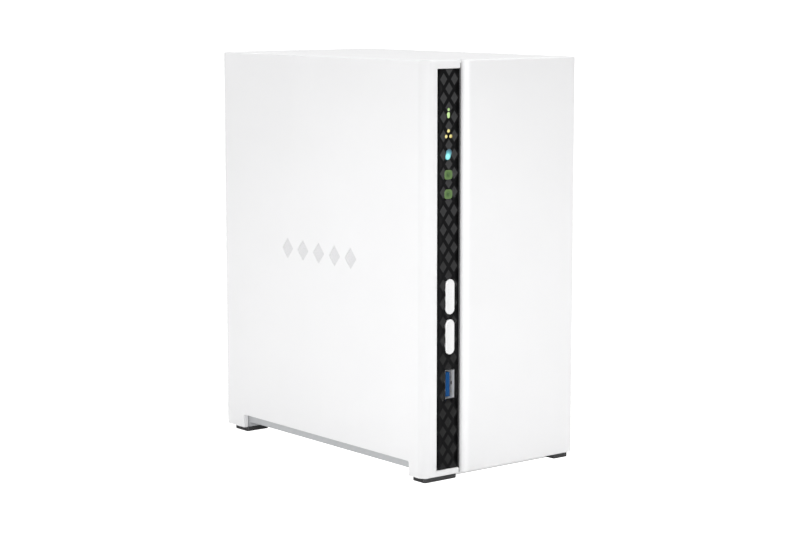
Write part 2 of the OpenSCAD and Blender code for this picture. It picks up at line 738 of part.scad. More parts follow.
// Sheet-metal frame, open at the top, that holds both drives and the mainboard
module drive_cage() color("lightgray") difference() {
    union() {
        block([cage_x[0], cage_y[0], cage_z[0]], [cage_x[0] + cage_t, cage_y[1], cage_z[1]]);
        block([cage_x[0], cage_y[0], cage_z[0]], [cage_x[1], cage_y[0] + cage_t, cage_z[1]]);
        block([cage_x[0], cage_y[1] - cage_t, cage_z[0]], [cage_x[1], cage_y[1], cage_z[1]]);
        block([cage_x[0], cage_y[0], cage_z[0]], [cage_x[1], cage_y[1], cage_z[0] + cage_t]);
        // return flanges on the open side
        block([cage_x[1] - cage_t, cage_y[0], cage_z[0]], [cage_x[1], cage_y[0] + 9, cage_z[1]]);
        block([cage_x[1] - cage_t, cage_y[1] - 9, cage_z[0]], [cage_x[1], cage_y[1], cage_z[1]]);
        // stand-offs for the mainboard and the backplane
        for (y = board_hole_y, z = board_hole_z) rod_x(board_back, cage_x[0] + cage_t / 2, y, z, 3);
        for (x = backplane_x_holes(), y = backplane_y_holes())
            translate([x, y, cage_z[0]]) cylinder(h = backplane_z - cage_z[0], r = 3);
        // guide tabs between and beside the drives
        for (x = [drive_x[0] + drive_t + 0.6, drive_x[1] - 1.6])
            block([x, cage_y[1] - 7, cage_z[0] + 25], [x + 1, cage_y[1], cage_z[1]]);
    }
    // openings: side windows, front and rear windows, floor window, room for the board link
    along_x(cage_x[0] - 1, cage_x[0] + cage_t + 1) for (z = [[32, 90], [98, 158]])
        round_rect([-48, z[0]], [20, z[1]], [4, 4, 4, 4]);
    along_y(cage_y[0] - 1, cage_y[0] + cage_t + 1) for (x = drive_x)
        round_rect([x + 4, 65], [x + drive_t - 3, 142], [3, 3, 3, 3]);
    along_y(cage_y[1] - 9.1, cage_y[1] + 1) for (x = drive_x)
        round_rect([x + 3, 40], [x + drive_t - 3, 160], [3, 3, 3, 3]);
    for (x = [[cage_x[0] + 9, -9], [13, cage_x[1] - 9]])
        block([x[0], -34, cage_z[0] - 1], [x[1], 4, cage_z[0] + cage_t + 1]);
    block([cage_x[0] - 1, -7, cage_z[0] - 1], [backplane_x[0] + 2, 16, cage_z[0] + 9]);
    for (x = post_x, y = post_y) translate([x, y, cage_z[0] - 1]) cylinder(h = 3, r = clear_r);
    for (y = board_hole_y, z = board_hole_z) rod_x(board_back - 1, cage_x[0] + cage_t + 1, y, z, tap_r);
    for (x = backplane_x_holes(), y = backplane_y_holes())
        translate([x, y, cage_z[0] - 1]) cylinder(h = 6, r = tap_r);
    for (x = drive_x, z = side_hole_z)
        rod_y(cage_y[0] - 1, cage_y[0] + cage_t + 1, x + side_hole_x, drive_z + z, clear_r);
}

// Drive casting: a well for the discs and the arm on one side, a pocket for the board on the other
module drive_base(x0) color("silver") difference() {
    union() {
        difference() {
            along_x(x0, x0 + drive_t - 1.5)
                round_rect([drive_y, drive_z], [drive_y + drive_w, drive_z + drive_l], [2.5, 2.5, 2.5, 2.5]);
            rod_x(x0 + 7, x0 + drive_t, spindle_y, spindle_z, 49);
            along_x(x0 + 7, x0 + drive_t) round_rect([drive_y + 5, drive_z + 14],
                [drive_y + drive_w - 5, drive_z + 76], [6, 6, 0, 0]);
        }
        rod_x(x0 + 6, x0 + 22, spindle_y, spindle_z, 2);
        rod_x(x0 + 6, x0 + 22, pivot_y, pivot_z, 3);
    }
    block([x0 - 1, drive_y + 3.5, drive_z + 8.5], [x0 + 3.2, drive_y + drive_w - 3.5, drive_z + 106]);
    block([x0 - 1, plug_y - 22.5, drive_z - 1], [x0 + 8.5, plug_y + 22.5, drive_z + 9]);
    for (z = side_hole_z)
        rod_y(drive_y - 1, drive_y + 4.4, x0 + side_hole_x, drive_z + z, side_hole_r + 0.05);
}

module drive_lid(x0) color("silver")
    along_x(x0 + drive_t - 1.5, x0 + drive_t) round_rect([drive_y, drive_z],
        [drive_y + drive_w, drive_z + drive_l], [2.5, 2.5, 2.5, 2.5]);

// Drive's circuit board with its plug, whose two tongues hang into the socket
module drive_board(x0) color("darkgreen") {
    x = x0 + 5;
    block([x0 + 1, drive_y + 4, drive_z + 9], [x0 + 2.6, drive_y + drive_w - 4, drive_z + 105.5]);
    block([x0 + 2.6, plug_y - 21, drive_z + 5.5], [x0 + 8, plug_y + 21, drive_z + 9]);
    block([x - 0.6, plug_y - 18.1, drive_z + 0.5], [x + 0.6, plug_y - 7.5, drive_z + 5.5]);
    block([x - 0.6, plug_y - 3.8, drive_z + 0.5], [x + 0.6, plug_y + 16.9, drive_z + 5.5]);
}

// Two discs on one hub that turns on the casting's post
module drive_platters(x0) color("gainsboro") difference() {
    union() {
        for (x = disc_x) rod_x(x0 + x, x0 + x + disc_t, spindle_y, spindle_z, platter_r);
        rod_x(x0 + 8, x0 + 20, spindle_y, spindle_z, 12.5);
    }
    rod_x(x0, x0 + drive_t, spindle_y, spindle_z, 2.05);
}

// Arm stack: a hub, three arms between and outside the discs, and the coil behind
module drive_arm(x0) color("gray") difference() {
    union() {
        rod_x(x0 + 8, x0 + 20.5, pivot_y, pivot_z, 7.5);
        for (x = [9.2, 14.1, 19.4]) translate([x0 + x, pivot_y, pivot_z]) rotate([arm_rest, 0, 0])
            along_x(0, 0.9)
                polygon([[0, -7], [arm_l - 3, -2], [arm_l, -1], [arm_l, 1], [arm_l - 3, 2], [0, 7]]);
        translate([x0 + 12, pivot_y, pivot_z]) rotate([arm_rest, 0, 0])
            along_x(0, 4) polygon([[0, -7], [-12, -8], [-12, 8], [0, 7]]);
    }
    rod_x(x0, x0 + drive_t, pivot_y, pivot_z, 3.05);
}

// --- fan ---

module fan_frame() color([0.1, 0.1, 0.11]) difference() {
    union() {
        difference() {
            along_y(fan_y, panel_y) translate([fan_x, fan_z])
                round_rect([-fan_w / 2, -fan_w / 2], [fan_w / 2, fan_w / 2], [3, 3, 3, 3]);
            rod_y(fan_y - 1, panel_y + 1, fan_x, fan_z, fan_bore);
        }
        // spider and the bearing tube
        rod_y(panel_y - spider_t, panel_y, fan_x, fan_z, fan_hub);
        intersection() {
            rod_y(panel_y - spider_t, panel_y, fan_x, fan_z, fan_bore + 0.5);
            translate([fan_x, 0, fan_z]) for (a = [45:90:315]) rotate([0, a, 0])
                block([0, panel_y - spider_t, -1.5], [fan_bore + 1, panel_y, 1.5]);
        }
        rod_y(fan_y + 6, panel_y - spider_t + 0.5, fan_x, fan_z, 4);
    }
    rod_y(fan_y, panel_y - 1, fan_x, fan_z, shaft_r + 0.05);
    for (x = fan_screw_x, z = fan_screw_z) rod_y(fan_y - 1, panel_y + 1, x, z, 2.15);
    // slimmer waist between the two mounting flanges
    for (a = [0:90:270]) translate([fan_x, 0, fan_z]) rotate([0, a, 0])
        block([fan_w / 2 - 0.7, fan_y + 4, -17], [fan_w / 2 + 1, panel_y - 4, 17]);
}

// Winding core on the bearing tube, inside the rotor's cup
module fan_stator() color([0.72, 0.45, 0.2]) difference() {
    union() {
        rod_y(fan_y + 8, fan_y + 16, fan_x, fan_z, 6.5);
        translate([fan_x, 0, fan_z]) for (a = [0:90:270]) rotate([0, a, 0]) {
            block([0, fan_y + 8, -2], [9, fan_y + 16, 2]);
            intersection() {
                block([8, fan_y + 8, -6], [11, fan_y + 16, 6]);
                rod_y(fan_y + 8, fan_y + 16, 0, 0, 10.6);
            }
        }
    }
    rod_y(fan_y, panel_y, fan_x, fan_z, 4);
}

module fan_rotor() color([0.1, 0.1, 0.11]) {
    y0 = fan_y + 2;
    y1 = fan_y + 19;
    difference() {
        rod_y(y0, y1, fan_x, fan_z, fan_hub);
        rod_y(y0 + 1.6, y1 + 1, fan_x, fan_z, fan_hub - 1.5);
    }
    rod_y(y0 + 1, panel_y - 2, fan_x, fan_z, shaft_r);
    difference() {
        intersection() {
            rod_y(y0 + 0.5, y1 - 0.5, fan_x, fan_z, fan_tip);
            translate([fan_x, (y0 + y1) / 2, fan_z]) for (k = [0:blades - 1]) rotate([0, k * 360 / blades, 0])
                translate([fan_hub - 1, 0, 0]) rotate([-38, 0, 0])
                    translate([0, -0.6, -14]) cube([fan_tip, 1.2, 28]);
        }
        rod_y(y0 - 1, y1 + 1, fan_x, fan_z, fan_hub - 0.5);
    }
}

// Fan lead: from the frame's lower edge down to its plug in the header
module fan_cable() color([0.15, 0.15, 0.16]) {
    swept(cable_path, cable_r, 8);
    block([board_back + 1.4, 51.3, 51.3], [cable_path[len(cable_path) - 1][0], 54.7, 56.7]);
}

// Direction of a route at its point k
function route_dir(path, k) =
    let (d = path[min(k + 1, len(path) - 1)] - path[max(k - 1, 0)]) d / norm(d);

// Ring of n points round the route's point k, in the plane across it
function route_ring(path, k, r, n) =
    let (t = route_dir(path, k), u = cross(t, [0, 1, 0]) / norm(cross(t, [0, 1, 0])), v = cross(t, u))
    [for (j = [0:n - 1]) path[k] + r * (cos(360 * j / n) * u + sin(360 * j / n) * v)];

// Tube with n sides along a route
module swept(path, r, n) {
    last = len(path) - 1;
    points = [for (k = [0:last]) each route_ring(path, k, r, n)];
    sides = [for (k = [0:last - 1], j = [0:n - 1])
        [(k + 1) * n + j, (k + 1) * n + (j + 1) % n, k * n + (j + 1) % n, k * n + j]];
    polyhedron(points, concat([[for (j = [0:n - 1]) j]], sides, [[for (j = [n - 1:-1:0]) last * n + j]]));
}

// --- fasteners ---

module case_screws() color("dimgray") {
    for (z = shell_screw_z) rear_seat(shell_screw_x, z) flat_screw(10);
    for (z = cover_screw_z) rear_seat(cover_screw_x, z) flat_screw(10);
    for (x = fan_screw_x, z = fan_screw_z) rear_seat(x, z) flat_screw(10);
}

module frame_screws() color("silver") {
    for (y = base_screw_y) translate([base_screw_x, y, base_z + head_h + 0.4])
        rotate([180, 0, 0]) pan_screw(11);
    for (x = post_x, y = post_y) translate([x, y, cage_z[0] + cage_t]) pan_screw(7);
    for (y = board_hole_y, z = board_hole_z) translate([board_x, y, z]) rotate([0, -90, 0]) pan_screw(4.6);
    for (x = backplane_x_holes(), y = backplane_y_holes())
        translate([x, y, backplane_z + pcb_t]) pan_screw(4);
}

module drive_screws() color("silver")
    for (x = drive_x, z = side_hole_z)
        translate([x + side_hole_x, cage_y[0], drive_z + z]) rotate([90, 0, 0]) pan_screw(5);

left_shell();
cover();
base_tray();
rear_panel();
lock_plate();
front_strip();
foot(-foot_x, foot_front, left_foot_w, front_foot_d);  // foot_front_left
foot(right_foot_x, foot_front, right_foot_w, front_foot_d);  // foot_front_right
foot(-foot_x, arch_back, foot_w, rear_foot_d);  // foot_rear_left
foot(foot_x - foot_w, arch_back, foot_w, rear_foot_d);  // foot_rear_right
status_lens();
network_lens();
usb_lens();
disk1_lens();
disk2_lens();
light_guide();
power_button();
copy_button();
power_plunger();
copy_plunger();
reset_plunger();
switch_bodies();
mainboard();
processor();
heatsink();
board_chips();
capacitors();
inductors();
clock_battery();
buzzer();
indicator_leds();
board_headers();
usb_shells();
front_usb_tongue();
rear_usb_tongues();
lan_shell();
lan_insert();
power_jack();
jack_pin();
backplane();
drive_sockets();
drive_cage();
drive_base(drive_x[0]);  // drive1_base
drive_lid(drive_x[0]);  // drive1_lid
drive_board(drive_x[0]);  // drive1_board
drive_platters(drive_x[0]);  // drive1_platters
drive_arm(drive_x[0]);  // drive1_arm
drive_base(drive_x[1]);  // drive2_base
drive_lid(drive_x[1]);  // drive2_lid
drive_board(drive_x[1]);  // drive2_board
drive_platters(drive_x[1]);  // drive2_platters
drive_arm(drive_x[1]);  // drive2_arm
fan_frame();
fan_stator();
fan_rotor();
fan_cable();
case_screws();
frame_screws();
drive_screws();
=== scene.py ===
"""Looks of a two-bay network attached storage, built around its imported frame.

New shapes are written in millimetres of the row frame (+Z up, front faces -Y, +X right)
and scaled once, when they become a piece."""
import math
import random

import bmesh
import bpy
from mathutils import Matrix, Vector


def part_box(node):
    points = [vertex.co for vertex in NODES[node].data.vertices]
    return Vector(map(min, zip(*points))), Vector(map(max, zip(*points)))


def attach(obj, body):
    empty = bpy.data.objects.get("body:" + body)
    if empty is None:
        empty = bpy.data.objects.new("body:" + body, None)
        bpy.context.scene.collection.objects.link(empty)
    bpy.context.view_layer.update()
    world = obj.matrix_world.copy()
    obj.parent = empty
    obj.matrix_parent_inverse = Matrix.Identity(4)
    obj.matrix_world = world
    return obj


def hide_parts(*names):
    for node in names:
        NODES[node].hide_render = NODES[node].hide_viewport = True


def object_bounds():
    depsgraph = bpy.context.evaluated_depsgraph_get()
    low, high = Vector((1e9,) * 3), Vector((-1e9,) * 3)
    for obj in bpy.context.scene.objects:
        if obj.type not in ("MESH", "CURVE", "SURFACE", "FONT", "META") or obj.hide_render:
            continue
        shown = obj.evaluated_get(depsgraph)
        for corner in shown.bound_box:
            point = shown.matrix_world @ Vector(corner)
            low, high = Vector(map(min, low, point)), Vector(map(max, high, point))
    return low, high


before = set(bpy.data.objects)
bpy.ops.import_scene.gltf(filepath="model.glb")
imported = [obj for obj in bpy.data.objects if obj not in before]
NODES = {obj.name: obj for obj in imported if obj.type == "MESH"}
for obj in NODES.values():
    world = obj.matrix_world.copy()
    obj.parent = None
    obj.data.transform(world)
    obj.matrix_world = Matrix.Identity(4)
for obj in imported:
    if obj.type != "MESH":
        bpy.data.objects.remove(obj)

MM = 0.001
CAD_LOW, CAD_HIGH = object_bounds()
JOINED = 0.002                     # corners closer than this many millimetres are one
X, Y, Z = Vector((1, 0, 0)), Vector((0, 1, 0)), Vector((0, 0, 1))


# ---------------------------------------------------------------- measuring the frame

def span(node):
    """Lowest and highest corner of a CAD node, in millimetres."""
    low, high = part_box(node)
    return low / MM, high / MM


def welded(node):
    """A bmesh of a CAD node in millimetres, with its split corners joined again."""
    shape = bmesh.new()
    shape.from_mesh(NODES[node].data)
    bmesh.ops.scale(shape, vec=(1 / MM,) * 3, verts=shape.verts)
    bmesh.ops.remove_doubles(shape, verts=shape.verts, dist=JOINED)
    return shape


def solids(node):
    """The separate solids of a CAD node, each as a list of its points, in a steady order."""
    shape = welded(node)
    shape.verts.index_update()
    left, found = set(shape.verts), []
    for start in list(shape.verts):
        if start not in left:
            continue
        left.discard(start)
        todo, points = [start], []
        while todo:
            vert = todo.pop()
            points.append(vert.co.copy())
            for edge in vert.link_edges:
                other = edge.other_vert(vert)
                if other in left:
                    left.discard(other)
                    todo.append(other)
        found.append(points)
    shape.free()
    return sorted(found, key=lambda points: tuple(round(c, 2) for c in low_high(points)[0]))


def low_high(points):
    """Lowest and highest corner of a list of points."""
    low = Vector(min(p[k] for p in points) for k in range(3))
    high = Vector(max(p[k] for p in points) for k in range(3))
    return low, high


# ---------------------------------------------------------------- shapes

def heading(line, k):
    """Direction of a line of points at its k-th point."""
    return (line[min(k + 1, len(line) - 1)] - line[max(k - 1, 0)]).normalized()


def hoop(middle, radius, u, v, sides):
    """Points of a circle about middle, in the plane of u and v."""
    turn = [2 * math.pi * k / sides for k in range(sides)]
    return [middle + radius * (math.cos(t) * u + math.sin(t) * v) for t in turn]


class Shape:
    """Points and faces of a mesh that is being built, in millimetres."""

    def __init__(self):
        self.points = []
        self.faces = []
        self.skins = []          # material index of each face
        self.skin = 0            # index given to the faces that are added next

    def add(self, points, faces):
        first = len(self.points)
        self.points += [Vector(p) for p in points]
        self.faces += [[first + k for k in face] for face in faces]
        self.skins += [self.skin] * len(faces)
        return self

    def box(self, low, high):
        corners = [(x, y, z) for x in (low[0], high[0]) for y in (low[1], high[1]) for z in (low[2], high[2])]
        return self.add(corners, [(0, 1, 3, 2), (4, 6, 7, 5), (0, 4, 5, 1), (2, 3, 7, 6), (0, 2, 6, 4),
                                  (1, 5, 7, 3)])

    def loft(self, rings):
        """Skin over rings of equally many points, with a face at each end."""
        n = len(rings[0])
        faces = []
        for k in range(len(rings) - 1):
            for j in range(n):
                a, b = k * n + j, k * n + (j + 1) % n
                faces.append((a, b, b + n, a + n))
        faces += [tuple(reversed(range(n))), tuple(range((len(rings) - 1) * n, len(rings) * n))]
        return self.add([p for ring in rings for p in ring], faces)

    def turned(self, profile, centre, axis, sides=32):
        """Solid of revolution: profile is a list of (distance along the axis, radius), from end to end."""
        axis = Vector(axis).normalized()
        u = axis.orthogonal().normalized()
        v = axis.cross(u)
        return self.loft([hoop(Vector(centre) + axis * along, radius, u, v, sides)
                          for along, radius in profile])

    def prism(self, outline, low, high, place):
        """Flat outline pushed from low to high; place turns (a, b, depth) into a point."""
        return self.loft([[place(a, b, depth) for a, b in outline] for depth in (low, high)])

    def plate(self, low, high, holes, depth, place):
        """Rectangle with rectangular holes (a0, b0, a1, b1), between two depths."""
        cuts = [sorted({low[k], high[k], *(h[k] for h in holes), *(h[k + 2] for h in holes)}) for k in (0, 1)]
        points, faces, index = [], [], {}

        def filled(i, j):
            if not (0 <= i < len(cuts[0]) - 1 and 0 <= j < len(cuts[1]) - 1):
                return False
            a, b = (sum(cuts[0][i:i + 2]) / 2, sum(cuts[1][j:j + 2]) / 2)
            return not any(h[0] < a < h[2] and h[1] < b < h[3] for h in holes)

        def corner(spot, level):
            if (spot, level) not in index:
                index[spot, level] = len(points)
                points.append(place(cuts[0][spot[0]], cuts[1][spot[1]], depth[level]))
            return index[spot, level]

        for i in range(len(cuts[0]) - 1):
            for j in range(len(cuts[1]) - 1):
                if not filled(i, j):
                    continue
                ring = [(i, j), (i + 1, j), (i + 1, j + 1), (i, j + 1)]
                faces.append([corner(spot, 0) for spot in reversed(ring)])
                faces.append([corner(spot, 1) for spot in ring])
                for k, (di, dj) in enumerate(((0, -1), (1, 0), (0, 1), (-1, 0))):
                    if not filled(i + di, j + dj):
                        a, b = ring[k], ring[(k + 1) % 4]
                        faces.append([corner(a, 0), corner(b, 0), corner(b, 1), corner(a, 1)])
        return self.add(points, faces)

    def strip(self, line, thickness, low, high, place):
        """Thin bent strip: line is a list of (a, b) along it, pushed from depth low to high."""
        line = [Vector((a, b)) for a, b in line]
        upper, lower = [], []
        for k, point in enumerate(line):
            way = heading(line, k)
            side = Vector((-way.y, way.x)) * thickness / 2
            upper.append(point + side)
            lower.append(point - side)
        return self.prism([tuple(q) for q in upper + lower[::-1]], low, high, place)

    def tube(self, path, radius, sides=10):
        """Round tube along a path of points."""
        path = [Vector(p) for p in path]
        rings = []
        side = None
        for k, point in enumerate(path):
            way = heading(path, k)
            side = way.orthogonal() if side is None else side - way * side.dot(way)
            side.normalize()
            rings.append(hoop(point, radius, side, way.cross(side), sides))
        return self.loft(rings)


def rounded(width, height, radius, steps=6):
    """Outline of a rectangle about the origin with round corners."""
    points = []
    for k, (sx, sy) in enumerate(((1, 1), (-1, 1), (-1, -1), (1, -1))):
        for j in range(steps + 1):
            t = math.pi / 2 * (k + j / steps)
            points.append((sx * (width / 2 - radius) + radius * math.cos(t),
                           sy * (height / 2 - radius) + radius * math.sin(t)))
    return points


def circle(radius, sides=48, x=0.0, y=0.0):
    return [(x + radius * math.cos(2 * math.pi * k / sides), y + radius * math.sin(2 * math.pi * k / sides))
            for k in range(sides)]


def smooth_path(points, steps=6):
    """Catmull-Rom curve through points."""
    points = [Vector(p) for p in points]
    ends = [2 * points[0] - points[1]] + points + [2 * points[-1] - points[-2]]
    path = []
    for k in range(1, len(ends) - 2):
        a, b, c, d = ends[k - 1:k + 3]
        for j in range(steps):
            t = j / steps
            path.append(0.5 * (2 * b + (c - a) * t + (2 * a - 5 * b + 4 * c - d) * t ** 2
                               + (3 * b - a - 3 * c + d) * t ** 3))
    return path + [points[-1]]


# Which way an outline's two axes and its depth point
def on_xz(a, b, depth):
    return Vector((a, depth, b))


def on_yz(a, b, depth):
    return Vector((depth, a, b))


def on_xy(a, b, depth):
    return Vector((a, b, depth))


def on_zy(a, b, depth):
    return Vector((depth, b, a))


def at(place, x=0.0, y=0.0):
    """The same placing, with the outline moved."""
    return lambda a, b, depth: place(a + x, b + y, depth)


# ---------------------------------------------------------------- pieces

SHARP = math.radians(32)           # edges that turn more than this are rounded
FLAT = math.radians(0.6)           # faces that turn less than this are joined


def soften(obj, width, segments=2):
    """Rounds the sharp edges of a piece and evens its shading."""
    if width:
        bevel = obj.modifiers.new("edges", "BEVEL")
        bevel.width = width * MM
        bevel.segments = segments
        bevel.limit_method = "ANGLE"
        bevel.angle_limit = SHARP
        bevel.use_clamp_overlap = True
    even = obj.modifiers.new("shading", "WEIGHTED_NORMAL")
    even.weight = 80
    even.keep_sharp = False


def dress(node, skin, edge=0.0, segments=2):
    """Gives a CAD node its material and fine edges; its own mesh stays as it is."""
    obj = NODES[node]
    mesh = obj.data
    mesh.materials.clear()
    mesh.materials.append(skin)
    for name in ("custom_normal", "sharp_edge", "sharp_face"):
        if name in mesh.attributes:
            mesh.attributes.remove(mesh.attributes[name])
    mesh.polygons.foreach_set("use_smooth", [True] * len(mesh.polygons))
    join = obj.modifiers.new("join", "WELD")
    join.merge_threshold = JOINED * MM
    flats = obj.modifiers.new("flats", "DECIMATE")
    flats.decimate_type = "DISSOLVE"
    flats.angle_limit = FLAT
    soften(obj, edge, segments)
    return obj


def mesh_of(name, shape):
    """Mesh in metres from a Shape or a bmesh in millimetres."""
    made = shape
    if isinstance(shape, Shape):
        made = bmesh.new()
        verts = [made.verts.new(p) for p in shape.points]
        for face, skin in zip(shape.faces, shape.skins):
            made.faces.new([verts[k] for k in face]).material_index = skin
    bmesh.ops.recalc_face_normals(made, faces=made.faces)
    bmesh.ops.scale(made, vec=(MM,) * 3, verts=made.verts)
    mesh = bpy.data.meshes.new(name)
    made.to_mesh(mesh)
    made.free()
    mesh.polygons.foreach_set("use_smooth", [True] * len(mesh.polygons))
    return mesh


def in_scene(name, data):
    """A new object in the scene."""
    obj = bpy.data.objects.new(name, data)
    bpy.context.scene.collection.objects.link(obj)
    return obj


def loose(name, shape):
    """An object of a shape that isn't a piece yet."""
    return in_scene(name, mesh_of(name, shape))


def skinned(mesh, skins):
    """Gives a mesh its materials and keeps which face has which."""
    which = [face.material_index for face in mesh.polygons]
    mesh.materials.clear()
    for skin in skins if isinstance(skins, (list, tuple)) else [skins]:
        mesh.materials.append(skin)
    mesh.polygons.foreach_set("material_index", which)


def piece(name, shape, body, skins, edge=0.0, segments=2, stands_for=()):
    """A new piece of the object that rides on a body. shape is a Shape, a bmesh or a ready object."""
    obj = shape if isinstance(shape, bpy.types.Object) else loose(name, shape)
    obj.name = name
    skinned(obj.data, skins)
    soften(obj, edge, segments)
    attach(obj, body)
    if stands_for:
        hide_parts(*stands_for)
    return obj


def carve(obj, tool, operation="DIFFERENCE"):
    """Applies one exact boolean of a scratch object to another and drops the tool."""
    cut = obj.modifiers.new("cut", "BOOLEAN")
    cut.operation = operation
    cut.solver = "EXACT"
    cut.object = tool
    bpy.context.view_layer.update()
    done = obj.evaluated_get(bpy.context.evaluated_depsgraph_get())
    mesh = bpy.data.meshes.new_from_object(done)
    obj.modifiers.remove(cut)
    obj.data = mesh
    bpy.data.objects.remove(tool)
    return obj


# ---------------------------------------------------------------- materials

class Nodes:
    """Short way to wire a material's nodes."""

    def __init__(self, name):
        self.material = bpy.data.materials.new(name)
        self.material.use_nodes = True
        self.tree = self.material.node_tree
        self.shader = self.tree.nodes["Principled BSDF"]
        self.place = self.new("ShaderNodeTexCoord").outputs["Object"]

    def new(self, kind, **settings):
        node = self.tree.nodes.new(kind)
        for key, value in settings.items():
            if key in node.inputs:
                node.inputs[key].default_value = value
            else:
                setattr(node, key, value)
        return node

    def join(self, output, target):
        self.tree.links.new(output, target)

    def axes(self):
        """The object coordinates one by one."""
        node = self.new("ShaderNodeSeparateXYZ")
        self.join(self.place, node.inputs["Vector"])
        return node.outputs

    def stretched(self, scale):
        """Object coordinates stretched by three factors."""
        mapping = self.new("ShaderNodeMapping")
        mapping.inputs["Scale"].default_value = scale
        self.join(self.place, mapping.inputs["Vector"])
        return mapping.outputs["Vector"]

    def noise(self, size, detail=3.0, stretch=(1, 1, 1)):
        """Noise with features of about size millimetres, from 0 to 1."""
        node = self.new("ShaderNodeTexNoise", Scale=1 / (size * MM), Detail=detail)
        self.join(self.stretched(stretch) if stretch != (1, 1, 1) else self.place, node.inputs["Vector"])
        return node.outputs["Fac"]

    def ramp(self, value, stops):
        """Colour ramp; stops are (position, colour)."""
        node = self.new("ShaderNodeValToRGB")
        elements = node.color_ramp.elements
        while len(elements) < len(stops):
            elements.new(0.5)
        for element, (position, colour) in zip(elements, stops):
            element.position = position
            element.color = (*colour, 1)
        self.join(value, node.inputs["Fac"])
        return node.outputs["Color"]

    def between(self, value, low, high, start=0.3, stop=0.7):
        """Value spread from start..stop to low..high."""
        node = self.new("ShaderNodeMapRange")
        for key, number in (("From Min", start), ("From Max", stop), ("To Min", low), ("To Max", high)):
            node.inputs[key].default_value = number
        self.join(value, node.inputs["Value"])
        return node.outputs["Result"]

    def mix(self, share, first, second):
        node = self.new("ShaderNodeMix", data_type="RGBA")
        self.join(share, node.inputs["Factor"])
        for name, colour in (("A", first), ("B", second)):
            socket = [s for s in node.inputs if s.name == name and s.type == "RGBA"][0]
            if isinstance(colour, tuple):
                socket.default_value = (*colour, 1)
            else:
                self.join(colour, socket)
        return [s for s in node.outputs if s.type == "RGBA"][0]

    def bump(self, height, depth, strength=1.0, under=None):
        """Surface relief, depth in millimetres."""
        node = self.new("ShaderNodeBump", Strength=strength, Distance=depth * MM)
        self.join(height, node.inputs["Height"])
        if under is not None:
            self.join(under, node.inputs["Normal"])
        return node.outputs["Normal"]

    def finish(self, colour=None, roughness=None, normal=None, **fixed):
        for output, name in ((colour, "Base Color"), (roughness, "Roughness"), (normal, "Normal")):
            if output is not None:
                self.join(output, self.shader.inputs[name])
        for name, value in fixed.items():
            self.shader.inputs[name.replace("_", " ")].default_value = value
        return self.material


CLOUD = 38                         # size of the soft clouding of mouldings


def shade(colour, factor):
    return tuple(min(1.0, c * factor) for c in colour)


def moulded(name, colour, roughness=0.45, grain=0.35, depth=0.008, vary=0.03, **fixed):
    """Moulded plastic or rubber: fine spark-eroded grain, slight clouding of colour and gloss."""
    n = Nodes(name)
    cloud = n.noise(CLOUD, 4)
    fine = n.noise(grain, 2)
    colour_out = n.ramp(cloud, [(0.3, shade(colour, 1 - vary)), (0.7, shade(colour, 1 + vary))])
    gloss = n.between(fine, roughness - 0.05, roughness + 0.05)
    normal = n.bump(fine, depth, under=n.bump(cloud, 0.02, 0.3))
    return n.finish(colour_out, gloss, normal, **fixed)


def painted_downward_shade(name, colour, roughness, bottom, top, dim, **fixed):
    """Moulded plastic with painted shade: darker downwards, from its full colour at top to a share of it at
    bottom.
    """
    n = Nodes(name)
    fine = n.noise(0.3, 2)
    level = n.between(n.axes()["Z"], 0.0, 1.0, bottom * MM, top * MM)
    tone = n.ramp(level, [(0.0, shade(colour, dim)), (1.0, colour)])
    return n.finish(tone, n.between(fine, roughness - 0.05, roughness + 0.05), n.bump(fine, 0.004), **fixed)


def painted_corner_shade(name, colour, roughness, corner, radius, dim, **fixed):
    """Moulded plastic with painted shade: toned down to a share of its colour where a round upright corner
    turns, which every lamp reaches, so the corner is no brighter than the faces. corner is the (x, y) of the
    sharp corner."""
    n = Nodes(name)
    cloud, fine = n.noise(CLOUD, 4), n.noise(0.4, 2)
    axes = n.axes()
    total = n.new("ShaderNodeMath", operation="ADD")
    n.join(axes["X"], total.inputs[0])
    n.join(axes["Y"], total.inputs[1])
    start = sum(corner) + (2 - math.sqrt(2)) * radius
    share = n.between(total.outputs[0], 0.0, 1.0, start * MM, (sum(corner) + radius) * MM)
    clouded = n.ramp(cloud, [(0.3, shade(colour, 0.992)), (0.7, shade(colour, 1.008))])
    gloss = n.between(fine, roughness - 0.05, roughness + 0.05)
    normal = n.bump(fine, 0.006, under=n.bump(cloud, 0.02, 0.3))
    return n.finish(n.mix(share, shade(colour, dim), clouded), gloss, normal, **fixed)


def brushed(name, colour, roughness=0.32, along="Z", vary=0.08, metallic=1.0):
    """Metal drawn in one direction: long fine scratches and soft tarnish."""
    n = Nodes(name)
    stretch = {"X": (0.04, 1, 1), "Y": (1, 0.04, 1), "Z": (1, 1, 0.04)}[along]
    lines = n.noise(0.25, 2, stretch)
    cloud = n.noise(14, 4)
    tint = n.ramp(cloud, [(0.3, shade(colour, 1 - vary)), (0.7, shade(colour, 1 + vary))])
    gloss = n.between(lines, roughness - 0.08, roughness + 0.1)
    return n.finish(tint, gloss, n.bump(lines, 0.003), Metallic=metallic)


def spangled(name, colour, roughness=0.38, flake=5.0):
    """Zinc-plated sheet: large pale crystals of slightly different tone."""
    n = Nodes(name)
    cells = n.new("ShaderNodeTexVoronoi", Scale=1 / (flake * MM))
    n.join(n.place, cells.inputs["Vector"])
    tone = n.new("ShaderNodeRGBToBW")
    n.join(cells.outputs["Color"], tone.inputs["Color"])
    tint = n.ramp(tone.outputs["Val"], [(0.2, shade(colour, 0.88)), (0.8, shade(colour, 1.08))])
    gloss = n.between(tone.outputs["Val"], roughness - 0.07, roughness + 0.09, 0.2, 0.8)
    return n.finish(tint, gloss, n.bump(n.noise(0.6, 3), 0.004), Metallic=1.0)


